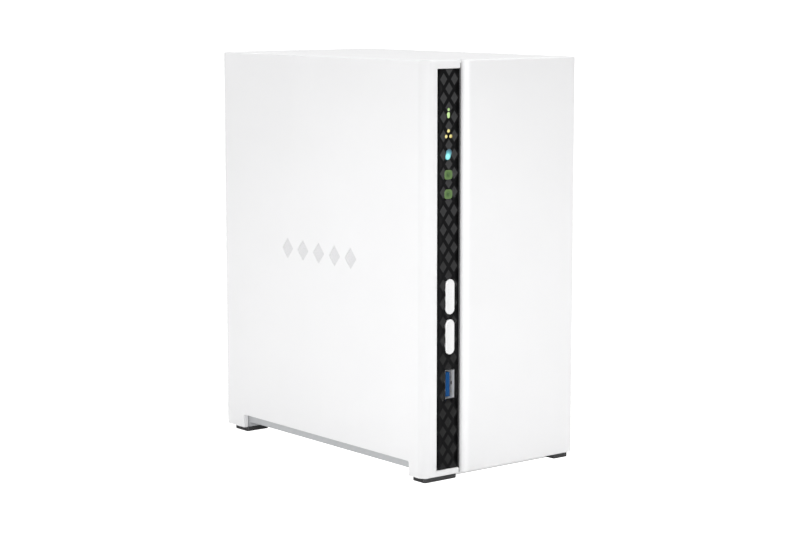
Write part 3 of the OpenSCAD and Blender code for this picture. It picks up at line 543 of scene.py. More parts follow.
def cast_metal(name, colour, roughness=0.5):
    """Die-cast aluminium: a grainy skin with faint flow marks."""
    n = Nodes(name)
    grain = n.noise(0.5, 5)
    flow = n.noise(9, 4, (1, 1, 0.3))
    tint = n.ramp(flow, [(0.3, shade(colour, 0.86)), (0.7, shade(colour, 1.08))])
    gloss = n.between(grain, roughness - 0.1, roughness + 0.12)
    return n.finish(tint, gloss, n.bump(grain, 0.02), Metallic=0.9)


def circuit_board(name, mask, copper, along, across):
    """Solder mask over copper tracks, with tinned via dots. along and across name the board's two axes."""
    n = Nodes(name)
    axes = n.axes()
    flat = n.new("ShaderNodeCombineXYZ")
    n.join(axes[along], flat.inputs["X"])
    n.join(axes[across], flat.inputs["Y"])
    tracks = n.new("ShaderNodeTexBrick", Scale=1 / (9 * MM), offset=0.37, offset_frequency=3, squash=0.6,
                   squash_frequency=4)
    for key, value in (("Mortar Size", 0.055), ("Mortar Smooth", 0.05), ("Brick Width", 1.7),
                       ("Row Height", 0.16)):
        tracks.inputs[key].default_value = value
    bend = n.new("ShaderNodeTexNoise", Scale=1 / (16 * MM), Detail=0.0)
    n.join(flat.outputs["Vector"], bend.inputs["Vector"])
    n.join(flat.outputs["Vector"], tracks.inputs["Vector"])
    lanes = n.between(bend.outputs["Fac"], 0.0, 1.0, 0.47, 0.5)
    pours = n.mix(lanes, mask, copper)
    tracked = n.mix(tracks.outputs["Fac"], copper, pours)
    vias = n.new("ShaderNodeTexVoronoi", Scale=1 / (3.1 * MM))
    n.join(flat.outputs["Vector"], vias.inputs["Vector"])
    dots = n.between(vias.outputs["Distance"], 1.0, 0.0, 0.09, 0.12)
    colour = n.mix(dots, tracked, (0.62, 0.6, 0.5))
    relief = n.bump(tracks.outputs["Fac"], -0.02, under=n.bump(dots, 0.02))
    gloss = n.between(n.noise(4, 3), 0.24, 0.38)
    return n.finish(colour, gloss, relief)


def lit_lens(name, node, hot, reach, stops):
    """A tinted window lit from behind. Its glow changes with the distance, up to reach, from a hot spot that
    lies hot = (x, z) from the window's middle."""
    n = Nodes(name)
    low, high = span(node)
    middle = (low + high) / 2
    away = n.new("ShaderNodeVectorMath", operation="DISTANCE")
    n.join(n.place, away.inputs[0])
    away.inputs[1].default_value = Vector((middle.x + hot[0], low.y, middle.z + hot[1])) * MM
    near = n.between(away.outputs["Value"], 0.0, 1.0, 0.0, reach * MM)
    n.join(n.ramp(near, stops), n.shader.inputs["Emission Color"])
    body = n.ramp(near, [(position, shade(colour, 0.2)) for position, colour in stops])
    return n.finish(body, n.between(n.noise(0.4, 2), 0.28, 0.42), Emission_Strength=1.0)


WHITE = (0.80, 0.80, 0.805)
CORNER_R = 4.4                     # radius of the left shell's front corner
DISK_GLOW = [(0.0, (0.020, 0.055, 0.015)), (0.4, (0.060, 0.125, 0.030)), (0.75, (0.095, 0.175, 0.045)),
             (1.0, (0.060, 0.11, 0.035))]
M = {
    # painted shade: the shell's colour is toned down where its front corner turns
    "shell": painted_corner_shade("shell_plastic_painted_corner_shade", WHITE, 0.42, span("left_shell")[0].xy, CORNER_R, 0.865,
                      Specular_IOR_Level=0.3),
    "cover": moulded("cover_plastic", WHITE, 0.40, 0.4, 0.006, 0.008),
    "mark": moulded("mark_plastic", (0.66, 0.66, 0.67), 0.3, 0.6, 0.003, 0.01),
    # painted shade: the strip's diamond tops grow darker downwards
    "strip_top": painted_downward_shade("strip_facet_painted_shade", (0.031, 0.031, 0.032), 0.42, 50, 140, 0.12, Specular_IOR_Level=0.22),
    # painted shade: the strip's bead is dark grey to stand for the shade in the seam beside the strip
    "bead": moulded("bead_painted_seam_shade", (0.09, 0.09, 0.092), 0.5, 0.3, 0.004, 0.1, Specular_IOR_Level=0.2),
    # painted shade: slopes, grooves and side columns of the strip in a darker black than its tops
    "strip_groove_painted_shade": moulded("strip_groove_painted_shade", (0.006, 0.006, 0.0065), 0.4, 0.3, 0.004, 0.2,
                            Specular_IOR_Level=0.05),
    "button": moulded("button_plastic", (0.77, 0.77, 0.77), 0.30, 0.5, 0.002, 0.006, Coat_Weight=0.1),
    "tray": moulded("tray_plastic", (0.47, 0.48, 0.49), 0.5),
    "panel": moulded("panel_plastic", (0.74, 0.74, 0.745), 0.46, 0.5, 0.01),
    "rubber": moulded("foot_rubber", (0.030, 0.030, 0.031), 0.72, 0.5, 0.02, 0.1),
    "black": moulded("black_plastic", (0.020, 0.020, 0.022), 0.42, 0.3, 0.006, 0.12),
    "chip": moulded("chip_resin", (0.016, 0.016, 0.018), 0.5, 0.12, 0.01, 0.1),
    "ferrite": moulded("ferrite_block", (0.07, 0.07, 0.075), 0.62, 0.2, 0.02, 0.12),
    "ivory": moulded("ivory_plastic", (0.72, 0.66, 0.52), 0.42),
    "plunger": moulded("plunger_plastic", (0.10, 0.10, 0.105), 0.4),
    "blue": moulded("tongue_plastic", (0.001, 0.056, 0.190), 0.40, 0.3, 0.003, 0.08,
                    Specular_IOR_Level=0.12),
    "guide": moulded("guide_acrylic", (0.86, 0.88, 0.90), 0.15, 0.8, 0.002, 0.01, Transmission_Weight=0.6,
                     IOR=1.49),
    "alu": brushed("heatsink_metal", (0.42, 0.43, 0.45), 0.36),
    "can": brushed("can_metal", (0.74, 0.74, 0.76), 0.25, "X"),
    "steel": spangled("cage_sheet", (0.62, 0.63, 0.65)),
    "port": brushed("port_metal", (0.70, 0.71, 0.73), 0.45, "Y", metallic=0.3),
    # painted shade: a dark copy of the port metal for the receptacles' front edges
    "rim": brushed("port_rim_painted_shade", (0.12, 0.12, 0.125), 0.45, "Y", metallic=0.3),
    "lid": brushed("lid_metal", (0.66, 0.67, 0.69), 0.34, "Z", 0.04),
    "casting": cast_metal("drive_casting", (0.46, 0.47, 0.48)),
    "arm": cast_metal("arm_metal", (0.60, 0.60, 0.62), 0.36),
    "cell": brushed("cell_metal", (0.70, 0.70, 0.71), 0.3, "Y"),
    "mirror": brushed("disc_metal", (0.86, 0.86, 0.88), 0.12, "Z", 0.01),
    "fan": moulded("fan_plastic", (0.024, 0.024, 0.026), 0.36, 0.4, 0.004, 0.12),
    "lamp_green": moulded("lan_lamp_green", (0.10, 0.30, 0.06), 0.3, 0.4, 0.002, 0.05),
    "lamp_amber": moulded("lan_lamp_amber", (0.50, 0.28, 0.03), 0.3, 0.4, 0.002, 0.05),
    "brass": brushed("pin_metal", (0.78, 0.58, 0.25), 0.28, "Y"),
    "gold": brushed("contact_metal", (0.92, 0.68, 0.28), 0.25, "Y", 0.05),
    "copper": brushed("coil_wire", (0.66, 0.29, 0.11), 0.3, "Y"),
    "black_steel": brushed("black_screw_metal", (0.035, 0.035, 0.038), 0.38, "Y", metallic=0.7),
    "zinc": brushed("zinc_screw_metal", (0.66, 0.67, 0.68), 0.3, "Z"),
    "board": circuit_board("main_board", (0.006, 0.085, 0.035), (0.012, 0.15, 0.06), "Y", "Z"),
    "flat_board": circuit_board("back_board", (0.006, 0.085, 0.035), (0.012, 0.15, 0.06), "X", "Y"),
    "tin": brushed("tinned_ends", (0.72, 0.72, 0.73), 0.35, "Z"),
    "resistor": moulded("resistor_body", (0.018, 0.018, 0.02), 0.4, 0.1, 0.002, 0.1),
    "ceramic": moulded("ceramic_body", (0.36, 0.24, 0.13), 0.45, 0.1, 0.002, 0.2),
    "print": moulded("pin_dot", (0.30, 0.30, 0.30), 0.6, 0.1, 0.001, 0.05),
    "label": moulded("blank_label", (0.78, 0.78, 0.77), 0.5, 0.2, 0.002, 0.02),
    "band": moulded("label_band", (0.16, 0.20, 0.26), 0.5, 0.2, 0.002, 0.04),
    "red_wire": moulded("red_wire", (0.45, 0.02, 0.015), 0.45, 0.6, 0.003),
    "yellow_wire": moulded("yellow_wire", (0.60, 0.42, 0.03), 0.45, 0.6, 0.003),
    "black_wire": moulded("black_wire", (0.018, 0.018, 0.02), 0.45, 0.6, 0.003),
    "green": lit_lens("status_light", "status_lens", (0.0, -0.5), 2.8,
                      [(0.0, (0.54, 0.74, 0.33)), (0.6, (0.42, 0.62, 0.24)), (1.0, (0.22, 0.38, 0.11))]),
    "amber": lit_lens("network_light", "network_lens", (-0.5, -0.2), 2.6,
                      [(0.0, (0.80, 0.66, 0.24)), (0.7, (0.72, 0.64, 0.25)), (1.0, (0.46, 0.36, 0.10))]),
    "cyan": lit_lens("usb_light", "usb_lens", (-0.4, -0.9), 4.0,
                     [(0.0, (0.38, 0.98, 0.95)), (0.2, (0.28, 0.84, 0.84)), (0.45, (0.10, 0.36, 0.42)),
                      (0.75, (0.045, 0.11, 0.15)), (1.0, (0.03, 0.05, 0.07))]),
    "leaf1": lit_lens("disk1_light", "disk1_lens", (-0.2, 0.0), 2.6, DISK_GLOW),
    "leaf2": lit_lens("disk2_light", "disk2_lens", (-0.2, 0.0), 2.6, DISK_GLOW),
}


# ---------------------------------------------------------------- stage, light and camera

PAPER = (0.86, 0.86, 0.86)
FLOOR_SEEN, FLOOR_BOUNCE, BACKDROP_SEEN, SKY = 0.9, 0.15, 1.1, 0.45      # how much each one glows
LAMPS = (("key", (-1.40, -1.15, 0.30), 1.2, 15.7), ("top", (0.1, 0.0, 1.7), 1.6, 24.0),
         ("back", (1.45, 0.35, 0.2), 0.6, 5.0))      # name, place in metres, size, power
GLOW_PLACE, GLOW_POWER, GLOW_CONE, GLOW_SIZE = (-1.2, -1.45, 0.35), 21.3, 8.0, 0.02      # spot on the corner
EDGE_PLACE, EDGE_POWER, EDGE_SIZE = (-0.295, -1.557, 0.30), 13.0, (0.05, 0.5)   # only its reflection shows
GAP_GLOW = 0.63                    # painted shadow on the floor in the gap under the front: its glow, and where it lies
GAP_SHADE = ((-24.0, -72.0, 0.02), (35.5, -72.0, 0.02), (35.5, -58.0, 0.02), (-24.0, -58.0, 0.02))
CAMERA_YAW, CAMERA_PITCH, CAMERA_LENS, CAMERA_PLACE = 38.62, 7.764, 92.96, (-615.1, -774.8, 221.2)


def paper(name, colour, glow):
    """Matt white paper that also glows a little."""
    made = moulded(name, colour, 0.8, 4.0, 0.02, 0.004, Specular_IOR_Level=0.0, Emission_Strength=glow)
    made.node_tree.nodes["Principled BSDF"].inputs["Emission Color"].default_value = (1, 1, 1, 1)
    return made


def lamp(name, kind, place, target, power):
    """A lamp at a place, turned to a target."""
    made = in_scene(name, bpy.data.lights.new(name, kind))
    made.data.energy = power
    made.location = place
    made.rotation_euler = (target - Vector(place)).to_track_quat("-Z", "Y").to_euler()
    return made


def staged(name, mesh, skin):
    """An object of the stage."""
    mesh.materials.append(skin)
    return in_scene(name, mesh)


def sheet(name, corners, skin):
    """One flat face of the stage."""
    mesh = bpy.data.meshes.new(name)
    mesh.from_pydata(corners, [], [(0, 1, 2, 3)])
    return staged(name, mesh, skin)


def seen_by(obj, camera, rays):
    """Says whether the camera and the light's own rays meet an object."""
    obj.visible_camera = camera
    for ray in ("diffuse", "glossy", "transmission", "shadow"):
        setattr(obj, "visible_" + ray, rays)


def stage_and_light():
    """Pale floor, white backdrop, an even sky and soft lamps. The floor that the camera sees is bright enough
    to take up the shadows; the one that throws light back on the object is dimmer."""
    reach = 9.0                         # in metres, inside the range of the camera of every view
    corners = [(-reach, -reach, 0), (reach, -reach, 0), (reach, reach, 0), (-reach, reach, 0)]
    dome = bmesh.new()
    bmesh.ops.create_uvsphere(dome, u_segments=48, v_segments=24, radius=reach)
    for name, glow, seen in (("floor", FLOOR_SEEN, True), ("floor_bounce", FLOOR_BOUNCE, False)):
        seen_by(sheet(name, corners, paper(name + "_paper", PAPER, glow)), seen, not seen)
    mesh = bpy.data.meshes.new("backdrop")
    dome.to_mesh(mesh)
    dome.free()
    seen_by(staged("backdrop", mesh, paper("backdrop_paper", PAPER, BACKDROP_SEEN)), True, False)
    # painted shadow: a dim glowing sheet on the floor, seen through the gap under the front
    shaded = [Vector(corner) * MM for corner in GAP_SHADE]
    seen_by(sheet("gap_shade", shaded, paper("shade_paper", (0, 0, 0), GAP_GLOW)), True, False)

    world = bpy.data.worlds.new("studio")
    bpy.context.scene.world = world
    world.use_nodes = True
    sky = world.node_tree.nodes["Background"]
    sky.inputs["Color"].default_value = (1, 1, 1, 1)
    sky.inputs["Strength"].default_value = SKY

    middle = (CAD_LOW + CAD_HIGH) / 2
    for name, place, size, power in LAMPS:
        lamp(name, "AREA", place, middle, power).data.size = size
    glow = lamp("corner_glow", "SPOT", GLOW_PLACE, Vector((*CAD_LOW.xy, middle.z * 0.9)), GLOW_POWER)
    glow.data.spot_size = math.radians(GLOW_CONE)
    glow.data.spot_blend = 1.0
    glow.data.shadow_soft_size = GLOW_SIZE
    edge = lamp("edge_light", "AREA", EDGE_PLACE, Vector((*CAD_LOW.xy, EDGE_PLACE[2])), EDGE_POWER)
    edge.data.shape = "RECTANGLE"
    edge.data.size, edge.data.size_y = EDGE_SIZE
    edge.visible_diffuse = False


def camera():
    """The camera stands to the left of the front, a little above the top."""
    yaw, pitch = math.radians(CAMERA_YAW), math.radians(CAMERA_PITCH)
    way = Vector((math.sin(yaw) * math.cos(pitch), math.cos(yaw) * math.cos(pitch), -math.sin(pitch)))
    eye = in_scene("camera", bpy.data.cameras.new("camera"))
    eye.data.sensor_width = 36
    eye.data.lens = CAMERA_LENS
    eye.location = Vector(CAMERA_PLACE) * MM
    eye.rotation_euler = way.to_track_quat("-Z", "Y").to_euler()
    bpy.context.scene.camera = eye
    bpy.context.scene.view_settings.view_transform = "Standard"


stage_and_light()
camera()


# ---------------------------------------------------------------- case

def case():
    """The moulded shells, tray, panel and feet keep their CAD shape and get fine edges."""
    dress("left_shell", M["shell"], 0.22)
    dress("cover", M["cover"], 0.22)
    dress("base_tray", M["tray"], 0.25)
    dress("rear_panel", M["panel"], 0.18)
    dress("lock_plate", M["steel"], 0.1)
    for foot in ("front_left", "front_right", "rear_left", "rear_right"):
        dress("foot_" + foot, M["rubber"], 0.35, 3)


MARK_PITCH, MARK_A, MARK_B, MARK_Z, MARK_DEEP = 12.4, 4.4, 5.0, 96.5, 0.35
MARK_GAP, MARK_SUNK = 0.12, 0.1    # air round an inlay, and how far its face lies under the side's


def side_mark():
    """Pale inlays that sit in the five diamond pockets of the left side."""
    shape = Shape()
    left = span("left_shell")[0].x
    a, b = MARK_A - MARK_GAP, MARK_B - MARK_GAP
    for k in range(-2, 3):
        outline = [(k * MARK_PITCH + a * math.cos(t), MARK_Z + b * math.sin(t))
                   for t in (0, math.pi / 2, math.pi, 3 * math.pi / 2)]
        shape.prism(outline, left + MARK_SUNK, left + MARK_DEEP, on_yz)
    piece("side_mark", shape, "chassis", M["mark"], 0.08)


CELL_W, CELL_H = 6.2, 8.3          # one diamond of the strip's relief, groove to groove
CELL_TOP, CELL_DEEP = 0.66, 0.42   # its raised top as a share of it, and how deep the grooves are
CELL_FIRST = 4.5                   # from the strip's top to the middle of the side columns' first diamond
FACE_CUT = 0.02                    # what the relief takes off the strip's face
STRIP_LEFT = 1.0                   # the strip's face lies further from its right edge than this
BEAD_DEEP = 1.6                    # from the strip's face to the back of its bead
SAME = 0.01                        # points closer than this lie in one plane


def front_strip():
    """The CAD strip with its face cut into three staggered columns of raised diamonds."""
    low, high = span("front_strip")
    solid = welded("front_strip")
    left_part = [v.co for v in solid.verts if v.co.x < high.x - STRIP_LEFT]
    front = min(point.y for point in left_part)
    face_low, face_high = low_high([point for point in left_part if point.y < front + SAME])
    middle = (face_low.x + high.x) / 2
    face, groove, back = front + FACE_CUT, front + CELL_DEEP, high.y + 3
    relief = bmesh.new()
    corner = {}

    def point(x, y, z):
        key = (round(x, 3), round(y, 3), round(z, 3))
        if key not in corner:
            corner[key] = relief.verts.new(key)
        return corner[key]

    rows = math.ceil((high.z - low.z) / CELL_H) + 2
    for column in range(-3, 4):
        x = middle + column * CELL_W / 2
        first = face_high.z - CELL_FIRST + CELL_H - (0 if column % 2 else CELL_H / 2)
        for row in range(rows):
            z = first - row * CELL_H
            outer = [(x + CELL_W / 2, z), (x, z + CELL_H / 2), (x - CELL_W / 2, z), (x, z - CELL_H / 2)]
            rim = [point(a, groove, b) for a, b in outer]
            if abs(column) > 1:
                relief.faces.new(rim)
                continue
            top = [point(x + (a - x) * CELL_TOP, face, z + (b - z) * CELL_TOP) for a, b in outer]
            relief.faces.new(top)
            for k in range(4):
                relief.faces.new((rim[k], rim[(k + 1) % 4], top[(k + 1) % 4], top[k]))
    pushed = bmesh.ops.extrude_face_region(relief, geom=relief.faces[:], use_keep_orig=True)
    for vert in [g for g in pushed["geom"] if isinstance(g, bmesh.types.BMVert)]:
        vert.co.y = back
    strip = carve(loose("strip", solid), loose("relief", relief), "INTERSECT")
    # painted shade: the flat diamond tops get the lighter black, every other face of the strip the darker one
    for panel in strip.data.polygons:
        panel.material_index = 0 if abs(panel.center.y / MM - face) < SAME else 1
    piece("diamond_strip", strip, "chassis", [M["strip_top"], M["strip_groove_painted_shade"]],
          stands_for=["front_strip"])
    # the bead along the strip's right edge, coloured as painted shade of the seam
    bead = [v.co for v in welded("front_strip").verts if v.co.y < low.y + SAME]
    bead_low, bead_high = low_high(bead)
    shape = Shape().box(bead_low, Vector((bead_high.x, front + BEAD_DEEP, bead_high.z)))
    piece("strip_bead", shape, "chassis", M["bead"], 0.05)


COLLAR_W, COLLAR_H = 2.0, 1.2      # how much wider and taller a button's collar is than its cap
COLLAR_BACK, COLLAR_T = 3.93, 0.8  # from a button's face to its collar, and the collar's thickness
POST_R, POST_EDGE = 1.3, 0.2       # the post to the switch and its rounding
RIM_R = 0.45                       # rounding of a button's face
DISH_DEEP, DISH_EDGE, DISH_RUN = 0.22, 0.62, 1.75      # the face's shallow hollow: depth, start and run


def button(node, name, body):
    """Pill-shaped key: rounded rim, shallow dish, collar and the post to its switch."""
    low, high = span(node)
    x, z = (low.x + high.x) / 2, (low.z + high.z) / 2
    width, height = high.x - low.x - COLLAR_W, high.z - low.z - COLLAR_H
    collar_front, steps = low.y + COLLAR_BACK, 14

    def ring(y, inset):
        radius = width / 2 - inset
        half = height / 2 - width / 2
        points = []
        for sign, start in ((1, 0.0), (-1, math.pi)):
            for k in range(steps + 1):
                t = start + math.pi * k / steps
                points.append((x + radius * math.cos(t), y, z + sign * half + radius * math.sin(t)))
        return points

    rings = [ring(collar_front, 0.0), ring(low.y + RIM_R, 0.0)]
    for k in range(1, 6):
        t = math.pi / 2 * k / 5
        rings.append(ring(low.y + RIM_R * (1 - math.sin(t)), RIM_R * (1 - math.cos(t))))
    for k in range(1, 7):
        t = k / 6
        rings.append(ring(low.y + DISH_DEEP * math.sin(t * math.pi / 2), DISH_EDGE + DISH_RUN * t))
    shape = Shape().loft(rings)
    collar = [(a - x, b - z) for a, _, b in ring(0, -COLLAR_H / 2)]
    collar_back = collar_front + COLLAR_T
    shape.prism(collar, collar_front, collar_back, at(on_xz, x, z))
    shape.turned([(collar_back - POST_EDGE, POST_R), (high.y - POST_EDGE, POST_R),
                  (high.y, POST_R - POST_EDGE)], (x, 0, z), Y, 24)
    piece(name, shape, body, M["button"], stands_for=[node])


def lights():
    for node, skin in (("status_lens", "green"), ("network_lens", "amber"), ("usb_lens", "cyan"),
                       ("disk1_lens", "leaf1"), ("disk2_lens", "leaf2")):
        dress(node, M[skin], 0.15)
    dress("light_guide", M["guide"], 0.15)


case()
side_mark()
front_strip()
button("power_button", "power_cap", "power_key")
button("copy_button", "copy_cap", "copy_key")
lights()

# ---------------------------------------------------------------- screws

RECESS, SLOT = 1.35, 0.62          # reach of a cross recess from the middle, and the width of its slots
QUARTER = (-13, 13, 24, 34, 45, 56, 66)          # degrees of the points in each quarter of a ring
CREST, ROOT, PITCH = 1.42, 1.12, 0.7             # radii of the thread's crest and root, and its pitch
SHANK_R = 2.2                                    # only a head reaches further from a screw's axis
CROSS = ((0.0, 1.0), (0.9, 0.72), (1.2, 0.3))    # depth in the recess, and the share of its reach there
TIP_FREE, THREAD_FREE = 0.4, 2.6                 # what the thread leaves free at the tip, and in all


def screw_ring(middle, way, radius, cross=False):
    """Ring across a screw's axis, round or in the outline of the cross recess."""
    side = way.orthogonal().normalized()
    other = way.cross(side)
    ring = []
    for turn in [90 * k + degrees for k in range(4) for degrees in QUARTER]:
        t = math.radians(turn)
        reach = radius
        if cross:
            off = math.radians((turn + 45) % 90 - 45)
            slot = SLOT / 2 / max(abs(math.sin(off)), 0.01)
            reach = radius * min(RECESS / math.cos(off), slot) / RECESS
        ring.append(middle + reach * (math.cos(t) * side + math.sin(t) * other))
    return ring


def screw(shape, points, sunk=False):
    """A cross-recess screw with a rolled thread, in the place of one CAD screw."""
    low, high = low_high(points)
    size = high - low
    axis = max(range(3), key=lambda k: min(abs(size[k] - size[j]) for j in range(3) if j != k))
    along = (X, Y, Z)[axis]
    middle = (low + high) / 2
    wide = [p[axis] for p in points if ((p - middle) - along * (p - middle).dot(along)).length > SHANK_R]
    up = sum(wide) / len(wide) > middle[axis]
    way = along if up else -along
    top = middle + way * size[axis] / 2
    head_r = max(size[(axis + 1) % 3], size[(axis + 2) % 3]) / 2
    if sunk:
        head = [(-1.4, CREST), (-0.12, head_r), (0.0, head_r - 0.08)]
    else:
        head = [(-1.8, head_r - 0.1), (-1.65, head_r), (-1.0, head_r), (-0.4, head_r * 0.86),
                (-0.08, head_r * 0.6)]
    turns = int((size[axis] - THREAD_FREE) / PITCH)
    rings = [screw_ring(top - way * size[axis], way, ROOT * 0.6)]
    for k in range(turns):
        start = -size[axis] + TIP_FREE + k * PITCH
        rings.append(screw_ring(top + way * start, way, ROOT))
        rings.append(screw_ring(top + way * (start + PITCH * 0.5), way, CREST))
    rings.append(screw_ring(top + way * head[0][0], way, CREST if sunk else ROOT))
    rings += [screw_ring(top + way * d, way, r) for d, r in head]
    rings += [screw_ring(top - way * d, way, share * RECESS, True) for d, share in CROSS]
    shape.loft(rings)


def screws():
    for node, name, skin, slot in (("case_screws", "case_screw_set", "black_steel", "screw_black"),
                                   ("frame_screws", "frame_screw_set", "zinc", "screw_zinc"),
                                   ("drive_screws", "drive_screw_set", "zinc", "screw_zinc")):
        shape = Shape()
        for points in solids(node):
            screw(shape, points, sunk=node == "case_screws")
        piece(name, shape, "chassis", M[skin], stands_for=[node])


# ---------------------------------------------------------------- ports

WALL = 0.3                         # receptacle sheet
WINDOW_W, WINDOW_L = 2.3, 7.4      # spring windows of a USB shell
SPRING_Z, SPRING_START = 3.3, 2.2  # springs off the middle, and where their windows start behind the mouth
SPRING_W, SPRING_T = 1.5, 0.22
SPRING_LIFT = (0.42, 0.85)         # how far a spring bulges inwards, behind the tongue and before it
LATCH_START, LATCH_L, LATCH_W = 1.7, 1.6, 1.5          # latch window in the middle of each long side
END_LANE = (3.0, 8.4)              # reach of the windows in the two short sides
END_W, END_SPRING_W, END_LIFT = 1.8, 1.2, 0.4          # those windows and the springs in them
TONGUE_GAP, TONGUE_T = 0.55, 1.85  # from the shell to the CAD tongue, and the tongue's thickness
CONTACTS = (((-3.3, -1.0, 1.2, 3.5), 3.4, 7.0, 0.95),  # places, start behind the mouth, length, width
            ((-4.0, -2.0, 0.0, 2.0, 4.0), 1.2, 1.5, 0.7))
CONTACT_T = (0.05, 0.08)           # how far a contact reaches into the tongue and out of it


def usb_receptacle(shape, low, high, front):
    """Folded shell of one receptacle. front is -1 if it opens towards -Y and 1 if towards +Y."""
    mouth = low.y if front < 0 else high.y
    middle = (low.z + high.z) / 2

    def into(depth):
        return mouth - front * depth

    def windows(places, start, length, width):
        ends = sorted((into(start), into(start + length)))
        return [(ends[0], z - width / 2, ends[1], z + width / 2) for z in places]

    springs = (-SPRING_Z, SPRING_Z)
    for x0, sign in ((low.x, 1), (high.x - WALL, -1)):
        holes = windows([middle + z for z in springs], SPRING_START, WINDOW_L, WINDOW_W)
        holes += windows([middle], LATCH_START, LATCH_L, LATCH_W)
        shape.plate((low.y, low.z), (high.y, high.z), holes, (x0, x0 + WALL), on_yz)
        inner = x0 + WALL / 2
        bulge = SPRING_LIFT[0] if sign > 0 else SPRING_LIFT[1]
        for z in springs:
            line = []
            for k in range(9):
                t = k / 8
                depth = SPRING_START + WINDOW_L - t * (WINDOW_L - 0.5)
                lift = bulge * math.sin(math.pi * min(t * 1.15, 1.0)) ** 1.5
                line.append((inner + sign * lift, into(depth)))
            shape.strip(line, SPRING_T, middle + z - SPRING_W / 2, middle + z + SPRING_W / 2, on_xy)
    lane = (low.x + high.x) / 2
    for z0, sign in ((low.z, 1), (high.z - WALL, -1)):
        ends = sorted(into(depth) for depth in END_LANE)
        hole = (lane - END_W / 2, ends[0], lane + END_W / 2, ends[1])
        shape.plate((low.x + WALL, low.y), (high.x - WALL, high.y), [hole], (z0, z0 + WALL), on_xy)
        line = [(z0 + WALL / 2 + sign * END_LIFT * math.sin(math.pi * k / 8), into(END_LANE[1] - 5.0 * k / 8))
                for k in range(9)]
        shape.strip(line, 0.2, lane - END_SPRING_W / 2, lane + END_SPRING_W / 2, on_zy)


def usb_contacts(shape, low, high, front):
    """Four long and five short contacts on the tongue's inner side."""
    mouth = low.y if front < 0 else high.y
    middle = (low.z + high.z) / 2
    face = low.x + WALL + TONGUE_GAP + TONGUE_T
    for places, start, length, width in CONTACTS:
        ends = sorted((mouth - front * start, mouth - front * (start + length)))
        for z in places:
            shape.box((face - CONTACT_T[0], ends[0], middle + z - width / 2),
                      (face + CONTACT_T[1], ends[1], middle + z + width / 2))


NOSE_SIDE, NOSE_FRONT, NOSE_BACK, NOSE_HALF = (0.4, 2.6), 0.45, 0.3, 5.5     # tip of the front tongue
LAN_MOUTH, LAN_PITCH, LAN_WIRE_R = 11.2, 1.02, 0.2     # the network socket's mouth and its eight wires
LAN_WIRE = ((-0.3, 1.1), (0.25, 1.5), (1.3, 4.0), (3.1, 9.2), (3.3, 11.4), (3.0, 12.9))  # off the wall, deep
LAMP_OFF, LAMP_HALF, LAMP_SIDE, LAMP_DEEP = 5.3, 1.3, (1.25, 0.25), (1.4, 0.12)          # its two lamps
JACK_SPRING = ((3.1, 8.6), (2.9, 7.0), (2.2, 4.2), (2.3, 2.6), (2.9, 1.6))               # under the pin, deep
JACK_SPRING_T, JACK_SPRING_HALF = 0.25, 0.9


def ports():
    """Receptacles with springs and contacts, the network socket's wires and lamps, the jack's spring."""
    shells, contacts = Shape(), Shape()
    for points in solids("usb_shells"):
        low, high = low_high(points)
        front = -1 if low.y < 0 else 1
        usb_receptacle(shells, low, high, front)
        usb_contacts(contacts, low, high, front)
    # painted shade: faces at a receptacle's mouth get the dark copy of the port metal
    mouths = [span("usb_shells")[k].y for k in (0, 1)]
    shells.skins = [int(any(all(abs(shells.points[k].y - mouth) < SAME for k in face) for mouth in mouths))
                    for face in shells.faces]
    piece("usb_receptacles", shells, "chassis", [M["port"], M["rim"]], 0.05, 1,
          stands_for=["usb_shells"])
    piece("usb_contacts", contacts, "chassis", M["gold"], 0.02, 1)

    low, high = span("front_usb_tongue")
    middle = (low.z + high.z) / 2
    nose = Shape().box((low.x + NOSE_SIDE[0], low.y - NOSE_FRONT, middle - NOSE_HALF),
                       (low.x + NOSE_SIDE[1], low.y + NOSE_BACK, middle + NOSE_HALF))
    piece("tongue_nose", nose, "chassis", M["blue"], 0.08)

    low, high = span("lan_shell")
    middle = (low.z + high.z) / 2
    roof = high.x - WALL - LAN_MOUTH    # wall of the mouth that the contact wires lie on
    wires = Shape()
    for k in range(8):
        z = middle + (k - 3.5) * LAN_PITCH
        path = smooth_path([(roof + off, high.y - deep, z) for off, deep in LAN_WIRE], 4)
        wires.tube(path, LAN_WIRE_R, 8)
    piece("lan_contacts", wires, "chassis", M["gold"])
    lamps = Shape()
    for sign, skin in ((-1, 0), (1, 1)):
        lamps.skin = skin
        z = middle + sign * LAMP_OFF
        lamps.box((roof - LAMP_SIDE[0], high.y - LAMP_DEEP[0], z - LAMP_HALF),
                  (roof - LAMP_SIDE[1], high.y - LAMP_DEEP[1], z + LAMP_HALF))
    piece("lan_lamps", lamps, "chassis", [M["lamp_green"], M["lamp_amber"]], 0.08)

    low, high = span("jack_pin")
    axis = (low + high) / 2
    line = [(axis.z - under, high.y - deep) for under, deep in JACK_SPRING]
    spring = Shape().strip(line, JACK_SPRING_T, axis.x - JACK_SPRING_HALF, axis.x + JACK_SPRING_HALF, on_zy)
    piece("jack_spring", spring, "chassis", M["port"], 0.04, 1)


# ---------------------------------------------------------------- boards

LEAD_PITCH, LEAD_W = 0.8, 0.3
LEAD_STEPS = (((-0.05, 0.35), (0.35, 0.5)), ((0.25, 0.95), (0.0, 0.16)))      # reach and height of each step
LEADED = 0.95                      # packages that are taller have leads
ROUND = 1.2                        # free room round a leaded package; also from a corner to the pin dot
DOT_R = 0.45
PASSIVE_SIZES = ((1.6, 0.8, 0.45), (1.6, 0.8, 0.45), (1.0, 0.5, 0.35), (2.0, 1.25, 0.55))
PASSIVE_ROOM = 0.5                 # free room round a passive
PASSIVE_END = 0.22                 # share of its length that each tinned end takes
BODY_LIFT = 0.02                   # a passive's ends stand out from its body
PLAIN_SCREW = 4.6                  # height over the board of the screws that hold it


def flat_box(points):
    """Extent of a solid across a board: (low y, low z, high y, high z)."""
    low, high = low_high(points)
    return low.y, low.z, high.y, high.z


